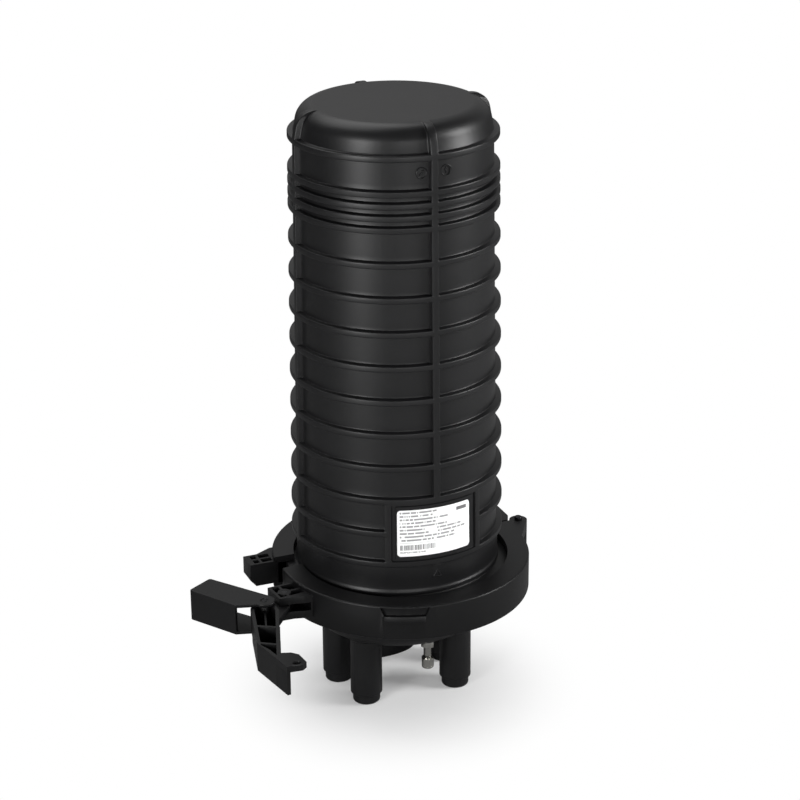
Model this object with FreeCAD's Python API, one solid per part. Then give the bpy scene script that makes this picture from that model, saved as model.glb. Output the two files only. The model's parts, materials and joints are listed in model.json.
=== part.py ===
import FreeCAD, Part
import math
import os

# Dome splice closure for fibre cables, standing on the ends of its cable ports.
# Millimetres, +Z up, Z = 0 at the port ends, Z axis on the dome's centre line.
# The label faces -Y, the oval port is on the +Y side, the latch on the -X side.

V = FreeCAD.Vector
UP = V(0, 0, 1)
FORWARD = V(0, -1, 0)
SIDEWAYS = V(1, 0, 0)
ALIGNED = 0.9
HEX = 6
TOUCH = 0.01
CENTRE = V(0, 0, 0)

# Dome
crown_height = 531.8
ring_radius_low = 92.0
dome_draft = 0.0121
ring_rise = 68.7
ring_count_even = 10
close_ring_pitch = 10.0
close_ring_count = 3
top_ring_drop = 25.05
top_ring_step = 11
ring_face = 5.2
ring_stand_out = 5.0
dome_wall = 3.0
shoulder_radius = 16.0
shoulder_lean = 10.8
upright_rib_width = 6.3
upright_rib_angles = (0.0, 90.0)
skirt_ring_drop = 27.9
skirt_inset = 3.2

# Flanges and the joint between dome and base
joint_height = 113.0
flange_width = 9.7
flange_thickness = 9.0
ledge_rise = 15.3
ledge_stand_out = 0.5
ledge_bead = 2.2
spigot_height = 8.0
spigot_clearance = 0.4
spigot_wall = 4.0
seal_section = 3.9
seal_inset = 4.9
seal_side_clearance = 0.25
seal_top_clearance = 0.1

# Label panel on the front of the dome
label_azimuth = 270.0
panel_width = 91.5
panel_border = 6.0
panel_groove = 1.3
panel_groove_depth = 1.6
pad_drop = 0.6
label_side_margin = 3.45
label_end_margin = 0.37
label_corner = 3.0
label_thickness = 0.3
label_seat = 0.3

# Moulding date marks under the top ring
date_mark_radius = 4.6
date_mark_rim = 0.9
date_mark_height = 0.5
date_mark_places = (-9.6, 11.9)
date_mark_drop = 13.0

# Base
bowl_drop = 49.0
bowl_wall = 4.0
bowl_side_inset = 8.8
bowl_side_drop = 33.0
bowl_flat_inset = 18.0
bowl_bend_inset = 5.0
neck_inset = 0.3
neck_drop = 15.0

# Round cable ports
port_pitch_inset = 26.4
port_angles = (17.0, 163.0, 216.5, 320.0)
port_radius = 14.0
port_wall = 2.5
port_nose_radius = 12.1
port_nose_length = 8.0
port_nose_round = 2.5
port_shoulder_chamfer = 1.5
port_root_flare = 2.0

# Oval cable port
oval_centre_inset = 30.0
oval_half_length = 37.0
oval_half_width = 17.2
oval_step = 1.9

# Air valve
valve_angle = 277.6
valve_pitch_inset = 26.9
valve_boss_radius = 8.5
valve_boss_drop = 3.5
valve_stem_radius = 3.7
valve_stem_drop = 27.1
valve_hole_clearance = 0.2
valve_head_radius = 6.5
valve_head_thickness = 3.0
valve_washer_radius = 7.2
valve_washer_thickness = 1.5
valve_nut_flats = 11.0
valve_nut_thickness = 6.0
valve_bore_radius = 1.6
valve_guide_length = 12.0
core_pin_radius = 0.9
core_pin_length = 14.0
core_pin_reach = 1.2
cap_radius = 5.4
cap_wall_top = 1.9
cap_length = 9.8
cap_overlap = 5.0
cap_chamfer = 1.0
cap_plain_end = 1.8
cap_knurls = 16
cap_knurl_depth = 0.35

# Clamp ring
clamp_side_gap = 8.0
clamp_wall = 4.0
clamp_height = 31.0
clamp_lip_gap = 2.3
clamp_lip_clearance = 0.6
clamp_edge_round = 1.6
clamp_opening = 5.5
split_left_y = 19.0
split_right_y = 10.5
split_gap = 1.0

# Clamp hinge
hinge_stand_out = 11.0
hinge_y = 8.0
knuckle_radius = 8.0
knuckle_gap = 0.25
knuckle_clearance = 0.6
knuckle_arm_share = 0.8
knuckle_arm_side_share = 0.6
hinge_pin_radius = 2.5
hinge_pin_head_radius = 3.4
hinge_pin_head_height = 3.2
hinge_pin_head_round = 1.2
hinge_pin_below = 1.2
hinge_flare_length = 34.0
hinge_plate_stand_out = 6.0
hinge_plate_length = 30.0
running_clearance = 0.05

# Recess for the latch tab in the front of the ring
recess_azimuth = 243.0
recess_width = 42.0
recess_depth = 2.6
recess_height = 8.0
recess_top_margin = 1.2
ledge_bar_width = 35.0
ledge_bar_height = 5.2
ledge_bar_stand_out = 1.0
ledge_bar_chamfer = 0.6

# Pivot block on the front half and catch block on the back half
block_height = 21.0
block_drop = 3.5
block_root_length = 12.0
block_wall = 2.4
block_rib = 2.2
block_pocket_depth = 4.6
pivot_stand_out = 13.2
pivot_y = -17.1
pivot_pin_radius = 2.5
pivot_boss_radius = 5.6
pivot_block_stand_out = 22.7
pivot_block_back_y = -3.5
pivot_block_front_y = -28.0
pivot_block_root_y = -34.0
pivot_block_slope = 3.0
eye_thickness = 6.4
eye_radius = 7.6
eye_clearance = 0.35
catch_stand_out = 20.0
catch_front_y = 19.0
catch_back_y = 38.7
catch_chamfer = 6.0
catch_pocket_depth = 14.0
gusset_length = 14.0
gusset_depth = 8.0
gusset_root = 6.0
gusset_height = 7.2

# Draw hook
hook_pivot_offset = (-24.4, -12.2)
hook_direction = 116.7
hook_length = 64.3
hook_outer_reach = 21.8
hook_inner_reach = 5.4
hook_ear_radius = 9.2
hook_sheet = 3.0
hook_window = 13.9
hook_clearance = 0.4
hook_pin_radius = 2.2
hook_corner_round = 2.5

# Latch handle, seen from above with the ring closed: its corners from the hook's pivot
handle_side_start = (-14.2, -3.0)
handle_side_end = (-34.6, -61.0)
handle_plate_end = (-30.6, -110.6)
handle_inside_start = (6.1, -16.1)
handle_inside_end = (-25.1, -86.0)
handle_meeting = (-32.1, -92.2)
tab_near = (-15.9, -113.5)
tab_far = (-15.0, -91.1)
tab_hole = (-22.3, -107.3)
tab_thickness = 5.2
tab_hole_radius = 3.0
tab_corner = 4.0
handle_wall = 3.0
handle_floor = 2.5
handle_deep_drop = 4.8
handle_head_clearance = 0.15
handle_rib_shares = ((0.52, 0.43), (0.93, 0.76))
handle_deep_shares = (0.18, 0.06)
handle_boss_radius = 5.0
handle_head_corners = ((-1.0, 0.7), (-0.4, 1.0), (0.6, 0.9), (1.0, 0.2))
arm_back_corner = (-5.7, 4.6)
arm_front_corner = (4.6, -5.7)
arm_inside_share = 0.05

# Bracket and splice trays inside the dome
bracket_width = 96.0
bracket_sheet = 2.0
bracket_y = 26.0
bracket_above_trays = 20.0
bracket_foot_depth = 16.0
bracket_flange = 10.0
bracket_window_margin = 30.0
bracket_window_rise = 60.0
bracket_screw_radius = 2.4
bracket_screw_head = 2.2
bracket_screw_overlap = 0.5
tray_count = 4
tray_width = 112.0
tray_length = 196.0
tray_depth = 8.5
tray_wall = 1.6
tray_gap = 1.0
tray_rise = 123.0
tray_corner = 16.0
tray_lug_width = 12.0
tray_lug_drop = 9.0
tray_lug_inset = 1.5
tray_lug_gap = 0.5
tray_pin_radius = 1.8
tray_holder_fingers = 6
tray_holder_pitch = 5.0
tray_holder_width = 1.6
tray_holder_rise = 4.0
tray_holder_length = 42.0
tray_spool_radius = 24.0
tray_spool_offset = 55.0
tray_spool_drop = 1.5
tray_cover_thickness = 1.6
tray_cover_inset = 2.0
carrier_plate = 3.0
carrier_gap = 2.0
strap_width = 18.0
strap_thickness = 1.2
strap_below_top = 50.0
basket_depth = 24.0
basket_inset = 6.0
basket_below_top = 56.0
basket_finger = 12.0
basket_finger_height = 20.0
cable_clamp_rise = 27.0
cable_clamp_height = 12.0
cable_clamp_radius = 9.0
cable_clamp_wall = 2.0
cable_clamp_pitch = 20.0
cable_clamp_count = 4
member_post_radius = 3.5
member_post_length = 12.0
member_post_rise = 20.0
member_hole_radius = 1.2

# Cuts reach this far past the faces that they open
past = 1.0

os.makedirs("parts", exist_ok=True)


def polar(radius, degrees):
    """A point at a radius and an azimuth."""
    angle = math.radians(degrees)
    return V(radius * math.cos(angle), radius * math.sin(angle), 0)


def cylinder(x, y, low, high, radius):
    return Part.makeCylinder(radius, high - low, V(x, y, low))


def block(low, high):
    size = [b - a for a, b in zip(low, high)]
    return Part.makeBox(size[0], size[1], size[2], V(*low))


def prism(points, low, high):
    """A straight column on a flat outline."""
    corners = [V(x, y, low) for x, y in points]
    outline = Part.makePolygon(corners + corners[:1])
    return Part.Face(outline).extrude(V(0, 0, high - low))


def turned(points, start=0.0, sweep=360.0):
    """A profile of radius and height pairs turned about the centre line."""
    corners = [V(r, 0, z) for r, z in points]
    outline = Part.makePolygon(corners + corners[:1])
    solid = Part.Face(outline).revolve(CENTRE, UP, sweep)
    solid.rotate(CENTRE, UP, start)
    return solid


def turned_edges(edges):
    """A closed profile of edges in the XZ plane turned about the centre line."""
    return Part.Face(Part.Wire(edges)).revolve(CENTRE, UP, 360)


def line(a, b):
    return Part.LineSegment(V(a[0], 0, a[1]), V(b[0], 0, b[1])).toShape()


def round_edge(a, middle, b):
    return Part.Arc(V(a[0], 0, a[1]), V(middle[0], 0, middle[1]), V(b[0], 0, b[1])).toShape()


def fuse(first, *others):
    """One solid from shapes that overlap, with seams between like faces removed."""
    return first.fuse(list(others)).removeSplitter()


def rounded_in_front(box, radius):
    """A box whose four edges that run from front to back are rounded."""
    edges = [edge for edge in box.Edges if abs(edge.tangentAt(edge.FirstParameter).y) > ALIGNED]
    return box.makeFillet(radius, edges)


def group(solids):
    return Part.Compound(solids)


def save(name, shape):
    shape.exportStep("parts/" + name + ".step")


# Heights, radii and places that follow from the driving sizes


ring_height_first = joint_height + ring_rise
top_ring_height = crown_height - top_ring_drop
ring_pitch = (top_ring_height - ring_height_first) / top_ring_step
skirt_ring_height = ring_height_first - skirt_ring_drop
even_ring_heights = [ring_height_first + ring_pitch * i for i in range(ring_count_even)]
close_ring_heights = [even_ring_heights[-1] + close_ring_pitch * (i + 1) for i in range(close_ring_count)]
panel_top = even_ring_heights[1]
panel_half_angle = math.degrees(panel_width / 2 / ring_radius_low)
label_width = panel_width - 2 * (panel_border + panel_groove + label_side_margin)
label_height = panel_top - skirt_ring_height - 2 * (panel_border + panel_groove + label_end_margin)
skirt_radius = ring_radius_low - skirt_inset
skirt_bore_radius = skirt_radius - dome_wall
flange_radius = skirt_radius + flange_width
flange_top = joint_height + flange_thickness
flange_bottom = joint_height - flange_thickness
ledge_radius = skirt_radius + ledge_stand_out
ledge_height = joint_height + ledge_rise
seal_centre_radius = flange_radius - seal_inset
bowl_bottom = joint_height - bowl_drop
bowl_side_radius = skirt_radius - bowl_side_inset
bowl_side_height = joint_height - bowl_side_drop
bowl_flat_radius = bowl_side_radius - bowl_flat_inset
neck_radius = skirt_radius - neck_inset
neck_height = joint_height - neck_drop
port_pitch_radius = bowl_side_radius - port_pitch_inset
oval_centre_y = bowl_side_radius - oval_centre_inset
valve_pitch_radius = bowl_side_radius - valve_pitch_inset
valve_stem_bottom = bowl_bottom - valve_stem_drop
clamp_radius = flange_radius + clamp_side_gap + clamp_wall
clamp_lip_radius = ledge_radius + clamp_lip_gap
clamp_bottom = joint_height - clamp_height / 2
clamp_top = joint_height + clamp_height / 2
hinge_x = clamp_radius + hinge_stand_out
hinge_plate_x = clamp_radius + hinge_plate_stand_out
block_top = clamp_top - block_drop
block_bottom = block_top - block_height
block_middle = (block_top + block_bottom) / 2
pivot_x = -clamp_radius - pivot_stand_out
pivot_block_outer_x = -clamp_radius - pivot_block_stand_out
catch_outer_x = -clamp_radius - catch_stand_out
hook_pivot_x = pivot_x + hook_pivot_offset[0]
hook_pivot_y = pivot_y + hook_pivot_offset[1]
hook_pivot = V(hook_pivot_x, hook_pivot_y, 0)
hinge = V(hinge_x, hinge_y, 0)
tray_bottom = joint_height + tray_rise
tray_top = tray_bottom + tray_length
bracket_top = tray_top + bracket_above_trays
cable_clamp_bottom = joint_height + cable_clamp_rise
tray_pivot_height = tray_bottom - tray_lug_drop / 2
stem_hole_radius = valve_stem_radius + valve_hole_clearance
stem_thread_radius = valve_stem_radius + running_clearance
hinge_hole_radius = hinge_pin_radius + running_clearance
pivot_hole_radius = pivot_pin_radius + running_clearance
hook_hole_radius = hook_pin_radius + running_clearance
tray_hole_radius = tray_pin_radius + running_clearance


def ring_radius(height):
    return ring_radius_low - dome_draft * (height - ring_height_first)


def tube_radius(height):
    return ring_radius(height) - ring_stand_out


def from_hook(corner):
    """A place seen from above, given from the hook's pivot."""
    return (hook_pivot_x + corner[0], hook_pivot_y + corner[1])


def open_front(shape):
    """Swing a piece of the front half from the closed ring to where it rests."""
    shape.rotate(hinge, UP, clamp_opening)
    return shape


# Dome cover: one moulding with hoops, four upright ribs and a label panel


def dome_body(outset, bend, top, bottom):
    """Closed solid of the drafted tube, the leaning wall above the top hoop and a round shoulder."""
    lean = math.radians(shoulder_lean)
    lean_start = top_ring_height + ring_face / 2
    foot = tube_radius(lean_start) + outset
    bend_height = top - bend
    lean_end = bend_height + bend * math.sin(lean)
    side = foot - (lean_end - lean_start) * math.tan(lean)
    centre = side - bend * math.cos(lean)
    halfway = (lean + math.pi / 2) / 2
    middle = (centre + bend * math.cos(halfway), bend_height + bend * math.sin(halfway))
    edges = [
        line((0, bottom), (tube_radius(bottom) + outset, bottom)),
        line((tube_radius(bottom) + outset, bottom), (foot, lean_start)),
        line((foot, lean_start), (side, lean_end)),
        round_edge((side, lean_end), middle, (centre, top)),
        line((centre, top), (0, top)),
        line((0, top), (0, bottom)),
    ]
    return turned_edges(edges)


def hoop(height):
    low = height - ring_face / 2
    high = height + ring_face / 2
    inner = tube_radius(height) - dome_wall / 2
    return turned([(inner, low), (ring_radius(low), low), (ring_radius(high), high), (inner, high)])


def upright_ribs():
    """Four ribs that run up the tube and over the shoulder."""
    envelope = dome_body(ring_stand_out, shoulder_radius, crown_height, skirt_ring_height)
    reach = 2 * ring_radius_low
    half = upright_rib_width / 2
    ribs = []
    for angle in upright_rib_angles:
        slab = block((-reach, -half, skirt_ring_height), (reach, half, crown_height))
        slab.rotate(CENTRE, UP, angle)
        ribs.append(envelope.common(slab))
    return ribs


def panel_sector(inner_drop, face_drop, side_inset, low, high):
    """Part of a drafted ring in front, between two depths below the hoops' faces."""
    half = panel_half_angle - math.degrees(side_inset / ring_radius_low)
    low_radius = ring_radius(low)
    high_radius = ring_radius(high)
    profile = [
        (low_radius - inner_drop, low),
        (low_radius - face_drop, low),
        (high_radius - face_drop, high),
        (high_radius - inner_drop, high),
    ]
    return turned(profile, label_azimuth - half, 2 * half)


def label_panel():
    """Raised panel in front, flush with the hoops above and below it."""
    return panel_sector(ring_stand_out + dome_wall / 2, 0, 0, skirt_ring_height, panel_top)


def panel_recess():
    """Space that leaves a groove round the pad that carries the label."""
    low = skirt_ring_height
    high = panel_top
    outer = panel_sector(panel_groove_depth, -past, panel_border, low + panel_border, high - panel_border)
    inset = panel_border + panel_groove
    pad = panel_sector(panel_groove_depth, pad_drop, inset, low + inset, high - inset)
    return outer.cut(pad)


def date_marks():
    """Two small moulded dials, one each side of the front rib."""
    height = top_ring_height - date_mark_drop
    marks = []
    for x in date_mark_places:
        face = math.sqrt(tube_radius(height) ** 2 - x ** 2)
        root = V(x, dome_wall / 2 - face, height)
        disc = Part.makeCylinder(date_mark_radius, dome_wall / 2 + date_mark_height, root, FORWARD)
        well = V(x, -face - date_mark_height / 2, height)
        dish = Part.makeCylinder(date_mark_radius - date_mark_rim, dome_wall, well, FORWARD)
        marks.append(disc.cut(dish))
    return marks


def dome_skirt():
    """Skirt below the lowest hoop, its ledge and the clamping flange."""
    return turned([
        (skirt_bore_radius, joint_height),
        (flange_radius, joint_height),
        (flange_radius, flange_top),
        (ledge_radius, flange_top),
        (ledge_radius, ledge_height),
        (skirt_radius, ledge_height + ledge_bead / 2),
        (skirt_radius, skirt_ring_height),
        (skirt_bore_radius, skirt_ring_height),
    ])


def dome_cover():
    heights = [skirt_ring_height] + even_ring_heights + close_ring_heights + [top_ring_height]
    pieces = [hoop(height) for height in heights]
    pieces += upright_ribs()
    pieces.append(label_panel())
    pieces.append(dome_skirt())
    body = dome_body(0, shoulder_radius, crown_height, skirt_ring_height)
    solid = body.fuse(pieces).removeSplitter()
    inner_bend = shoulder_radius - dome_wall
    inside = dome_body(-dome_wall, inner_bend, crown_height - dome_wall, skirt_ring_height - ring_face / 2)
    bore = cylinder(0, 0, joint_height - past, skirt_ring_height, skirt_bore_radius)
    hollow = solid.cut([inside.fuse(bore), panel_recess()])
    return hollow.fuse(date_marks()).removeSplitter()


def label():
    """Printed label on the pad, as a thin curved sheet with round corners."""
    middle = (skirt_ring_height + panel_top) / 2
    low = middle - label_height / 2
    high = middle + label_height / 2
    half = math.degrees(label_width / 2 / ring_radius(middle))
    back = label_seat - pad_drop
    profile = [
        (ring_radius(low) + back, low),
        (ring_radius(low) + back + label_thickness, low),
        (ring_radius(high) + back + label_thickness, high),
        (ring_radius(high) + back, high),
    ]
    sheet = turned(profile, label_azimuth - half, 2 * half)
    across = 2 * (ring_radius(middle) * math.sin(math.radians(half)))
    window = block((-across / 2, -2 * ring_radius_low, low), (across / 2, 0, high))
    return sheet.common(rounded_in_front(window, label_corner))


# Base: flange, spigot, bowl and cable ports moulded as one


def base_shell():
    """Bowl that carries the ports, with its flange and spigot."""
    spigot_outer = skirt_bore_radius - spigot_clearance
    spigot_inner = spigot_outer - spigot_wall
    groove = seal_section / 2 + seal_side_clearance
    groove_bottom = joint_height - seal_section - seal_top_clearance
    bend_out = (bowl_side_radius - bowl_bend_inset, bowl_bottom + bowl_bend_inset)
    inner_side = bowl_side_radius - bowl_wall
    inner_flat = bowl_flat_radius - bowl_wall / 2
    floor = bowl_bottom + bowl_wall
    slant = bowl_wall * math.sqrt(1 / 2)
    bend_in = (bend_out[0] - slant, bend_out[1] + slant)
    edges = [
        line((0, bowl_bottom), (bowl_flat_radius, bowl_bottom)),
        round_edge((bowl_flat_radius, bowl_bottom), bend_out, (bowl_side_radius, bowl_side_height)),
        line((bowl_side_radius, bowl_side_height), (neck_radius, neck_height)),
        line((neck_radius, neck_height), (ledge_radius, flange_bottom)),
        line((ledge_radius, flange_bottom), (flange_radius, flange_bottom)),
        line((flange_radius, flange_bottom), (flange_radius, joint_height)),
        line((flange_radius, joint_height), (seal_centre_radius + groove, joint_height)),
        line((seal_centre_radius + groove, joint_height), (seal_centre_radius + groove, groove_bottom)),
        line((seal_centre_radius + groove, groove_bottom), (seal_centre_radius - groove, groove_bottom)),
        line((seal_centre_radius - groove, groove_bottom), (seal_centre_radius - groove, joint_height)),
        line((seal_centre_radius - groove, joint_height), (spigot_outer, joint_height)),
        line((spigot_outer, joint_height), (spigot_outer, joint_height + spigot_height)),
        line((spigot_outer, joint_height + spigot_height), (spigot_inner, joint_height + spigot_height)),
        line((spigot_inner, joint_height + spigot_height), (spigot_inner, neck_height)),
        line((spigot_inner, neck_height), (inner_side, bowl_side_height)),
        round_edge((inner_side, bowl_side_height), bend_in, (inner_flat, floor)),
        line((inner_flat, floor), (0, floor)),
        line((0, floor), (0, bowl_bottom)),
    ]
    return turned_edges(edges)


def port_outside():
    """Round port with a stepped nose, flared where it joins the bowl so that a sleeve seats all round."""
    slant = port_nose_round * (1 - math.sqrt(1 / 2))
    top = bowl_bottom + bowl_wall / 2
    root_radius = port_radius + port_root_flare
    root_height = bowl_bottom - port_root_flare
    edges = [
        line((0, 0), (port_nose_radius - port_nose_round, 0)),
        round_edge(
            (port_nose_radius - port_nose_round, 0),
            (port_nose_radius - slant, slant),
            (port_nose_radius, port_nose_round),
        ),
        line((port_nose_radius, port_nose_round), (port_nose_radius, port_nose_length)),
        line((port_nose_radius, port_nose_length), (port_radius, port_nose_length + port_shoulder_chamfer)),
        line((port_radius, port_nose_length + port_shoulder_chamfer), (port_radius, root_height)),
        line((port_radius, root_height), (root_radius, bowl_bottom)),
        line((root_radius, bowl_bottom), (root_radius, top)),
        line((root_radius, top), (0, top)),
        line((0, top), (0, 0)),
    ]
    return turned_edges(edges)


def port_inside():
    step = port_nose_length + port_wall
    above = bowl_bottom + 3 * bowl_wall
    nose = cylinder(0, 0, port_wall, step, port_nose_radius - port_wall)
    return nose.fuse(cylinder(0, 0, step, above, port_radius - port_wall))


def oval(low, high, inset):
    """Straight oval column on the oval port's centre."""
    middle = V(0, oval_centre_y, low)
    ellipse = Part.Ellipse(middle, oval_half_length - inset, oval_half_width - inset)
    face = Part.Face(Part.Wire([ellipse.toShape()]))
    return face.extrude(V(0, 0, high - low))


def valve_place():
    return polar(valve_pitch_radius, valve_angle)


def base_body():
    top = bowl_bottom + bowl_wall / 2
    above = bowl_bottom + 3 * bowl_wall
    outside = [base_shell()]
    inside = []
    for angle in port_angles:
        place = polar(port_pitch_radius, angle)
        outside.append(port_outside().translated(place))
        inside.append(port_inside().translated(place))
    outside.append(oval(0, top, oval_step))
    outside.append(oval(port_nose_length, top, 0))
    inside.append(oval(port_wall, above, oval_step + port_wall))
    inside.append(oval(port_nose_length + port_wall, above, port_wall))
    valve = valve_place()
    boss_low = bowl_bottom - valve_boss_drop
    outside.append(cylinder(valve.x, valve.y, boss_low, top, valve_boss_radius))
    inside.append(cylinder(valve.x, valve.y, boss_low - past, above, stem_hole_radius))
    solid = outside[0].fuse(outside[1:])
    return solid.cut(inside).removeSplitter()


def seal_ring():
    bottom = joint_height - seal_section / 2 - seal_top_clearance
    return Part.makeTorus(seal_centre_radius, seal_section / 2, V(0, 0, bottom))


# Air valve


def valve_body():
    valve = valve_place()
    floor = bowl_bottom + bowl_wall
    stem = cylinder(valve.x, valve.y, valve_stem_bottom, floor, valve_stem_radius)
    head = cylinder(valve.x, valve.y, floor, floor + valve_head_thickness, valve_head_radius)
    guide_top = valve_stem_bottom + valve_guide_length
    guide_radius = core_pin_radius + running_clearance
    guide = cylinder(valve.x, valve.y, valve_stem_bottom - past, guide_top, guide_radius)
    bore = cylinder(valve.x, valve.y, guide_top, floor + valve_head_thickness + past, valve_bore_radius)
    return fuse(stem, head).cut([guide, bore])


def valve_washer():
    valve = valve_place()
    high = bowl_bottom - valve_boss_drop
    low = high - valve_washer_thickness
    outside = cylinder(valve.x, valve.y, low, high, valve_washer_radius)
    return outside.cut(cylinder(valve.x, valve.y, low - past, high + past, stem_hole_radius))


def valve_nut():
    valve = valve_place()
    high = bowl_bottom - valve_boss_drop - valve_washer_thickness
    low = high - valve_nut_thickness
    reach = valve_nut_flats / 2 / math.cos(math.pi / HEX)
    corners = [valve + polar(reach, 360 / HEX * i) for i in range(HEX)]
    hexagon = prism([(corner.x, corner.y) for corner in corners], low, high)
    return hexagon.cut(cylinder(valve.x, valve.y, low - past, high + past, stem_thread_radius))


def valve_cap():
    """Knurled dust cap screwed over the end of the stem."""
    valve = valve_place()
    high = valve_stem_bottom + cap_overlap
    low = high - cap_length
    cap = cylinder(valve.x, valve.y, low, high, cap_radius)
    rim = [edge for edge in cap.Edges if abs(edge.CenterOfMass.z - low) < TOUCH]
    cap = cap.makeChamfer(cap_chamfer, rim)
    well = cylinder(valve.x, valve.y, low + cap_wall_top, high + past, stem_thread_radius)
    cap = cap.cut(well)
    knurl_low = low + cap_plain_end
    for i in range(cap_knurls):
        place = valve + polar(cap_radius + cap_knurl_depth, 360 / cap_knurls * i)
        cap = cap.cut(cylinder(place.x, place.y, knurl_low, high - cap_chamfer, 2 * cap_knurl_depth))
    return cap


def valve_core():
    valve = valve_place()
    low = valve_stem_bottom - core_pin_reach
    return cylinder(valve.x, valve.y, low, low + core_pin_length, core_pin_radius)


# Clamp ring


def channel_ring():
    """Full ring of the clamping channel, before it is split into halves."""
    lip_top = flange_top + clamp_lip_clearance
    lip_bottom = flange_bottom - clamp_lip_clearance
    inner = clamp_radius - clamp_wall
    slant = clamp_edge_round * (1 - math.sqrt(1 / 2))
    edge_r = clamp_radius - clamp_edge_round
    band_low = clamp_bottom + clamp_edge_round
    band_high = clamp_top - clamp_edge_round
    corner_r = clamp_radius - slant
    edges = [
        line((clamp_lip_radius, clamp_bottom), (edge_r, clamp_bottom)),
        round_edge((edge_r, clamp_bottom), (corner_r, clamp_bottom + slant), (clamp_radius, band_low)),
        line((clamp_radius, band_low), (clamp_radius, band_high)),
        round_edge((clamp_radius, band_high), (corner_r, clamp_top - slant), (edge_r, clamp_top)),
        line((edge_r, clamp_top), (clamp_lip_radius, clamp_top)),
        line((clamp_lip_radius, clamp_top), (clamp_lip_radius, lip_top)),
        line((clamp_lip_radius, lip_top), (inner, lip_top)),
        line((inner, lip_top), (inner, lip_bottom)),
        line((inner, lip_bottom), (clamp_lip_radius, lip_bottom)),
        line((clamp_lip_radius, lip_bottom), (clamp_lip_radius, clamp_bottom)),
    ]
    return turned_edges(edges)


def half_space(front):
    """The side of the split line that one half of the ring fills."""
    reach = 2 * clamp_radius
    sign = -1 if front else 1
    left = split_left_y + sign * split_gap / 2
    right = split_right_y + sign * split_gap / 2
    far = sign * reach
    low = clamp_bottom - past
    high = clamp_top + past
    west = block((-reach, min(left, far), low), (0, max(left, far), high))
    east = block((0, min(right, far), low), (reach, max(right, far), high))
    return west.fuse(east)


def knuckle(low, high, side):
    """Hinge barrel with the arm that joins it to one half of the ring."""
    edge = split_right_y + side * split_gap / 2
    root = clamp_radius - clamp_wall
    arm_x = hinge_x + knuckle_arm_side_share * knuckle_radius
    arm = prism([
        (root, edge),
        (root, edge + side * hinge_flare_length),
        (arm_x, hinge_y + side * knuckle_arm_share * knuckle_radius),
        (hinge_x, hinge_y),
        (hinge_x - knuckle_radius, edge),
    ], low, high)
    return arm.fuse(cylinder(hinge_x, hinge_y, low, high, knuckle_radius))


def knuckle_levels():
    """Heights of the lower, middle and upper hinge barrels."""
    third = clamp_height / 3
    gap = knuckle_gap / 2
    low = clamp_bottom + third
    high = clamp_top - third
    return (clamp_bottom, low - gap), (low + gap, high - gap), (high + gap, clamp_top)


def inside_channel():
    return cylinder(0, 0, clamp_bottom - past, clamp_top + past, clamp_radius - clamp_wall / 2)


def hinge_hole():
    return cylinder(hinge_x, hinge_y, clamp_bottom - past, clamp_top + past, hinge_hole_radius)


def tab_recess():
    """Shallow pocket in the band that takes the tab of the latch."""
    high = clamp_top - recess_top_margin
    low = high - recess_height
    half = math.degrees(recess_width / 2 / clamp_radius)
    inner = clamp_radius - recess_depth
    outer = clamp_radius + past
    return turned([(inner, low), (outer, low), (outer, high), (inner, high)], recess_azimuth - half, 2 * half)


def ledge_bar():
    """Ledge below the recess on which the tab rides."""
    high = clamp_top - recess_top_margin - recess_height
    low = high - ledge_bar_height
    half = math.degrees(ledge_bar_width / 2 / clamp_radius)
    inner = clamp_radius - clamp_wall / 2
    outer = clamp_radius + ledge_bar_stand_out
    profile = [
        (inner, low),
        (outer - ledge_bar_chamfer, low),
        (outer, low + ledge_bar_chamfer),
        (outer - ledge_bar_chamfer, high),
        (inner, high),
    ]
    return turned(profile, recess_azimuth - half, 2 * half)


def pivot_block():
    """Ribbed block on the front half with a slot for the eye of the handle."""
    root = clamp_wall - clamp_radius
    inner = root + block_root_length
    body = prism([
        (pivot_block_outer_x, pivot_block_back_y),
        (pivot_block_outer_x, pivot_block_front_y),
        (pivot_x + pivot_block_slope, pivot_block_front_y - pivot_block_slope / 2),
        ((pivot_x + root) / 2 + pivot_block_slope, pivot_block_root_y + pivot_block_slope / 2),
        (root + pivot_block_slope, pivot_block_root_y),
        (inner, pivot_block_root_y),
        (inner, pivot_block_back_y),
    ], block_bottom, block_top)
    pocket_low = block_top - block_pocket_depth
    pocket_high = block_top + past
    half_rib = block_rib / 2
    pocket = block(
        (pivot_block_outer_x + block_wall, pivot_block_front_y + block_wall, pocket_low),
        (root - block_wall, pivot_block_back_y - block_wall, pocket_high),
    )
    pocket = pocket.cut([
        cylinder(pivot_x, pivot_y, pocket_low, pocket_high, pivot_boss_radius),
        block((pivot_x - half_rib, pivot_block_front_y, pocket_low), (pivot_x + half_rib, 0, pocket_high)),
        block((pivot_block_outer_x, pivot_y - half_rib, pocket_low), (root, pivot_y + half_rib, pocket_high)),
    ])
    half_slot = eye_thickness / 2 + eye_clearance
    reach = eye_radius + eye_clearance
    slot = prism([
        (pivot_block_outer_x - past, pivot_block_root_y - past),
        (root, pivot_block_root_y - past),
        (root, pivot_block_front_y + clamp_wall),
        (pivot_x + reach, pivot_y + reach),
        (pivot_block_outer_x - past, pivot_y + reach),
    ], block_middle - half_slot, block_middle + half_slot)
    hole = cylinder(pivot_x, pivot_y, block_bottom - past, block_top + past, pivot_hole_radius)
    return body.cut([pocket, slot, hole])


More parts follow.
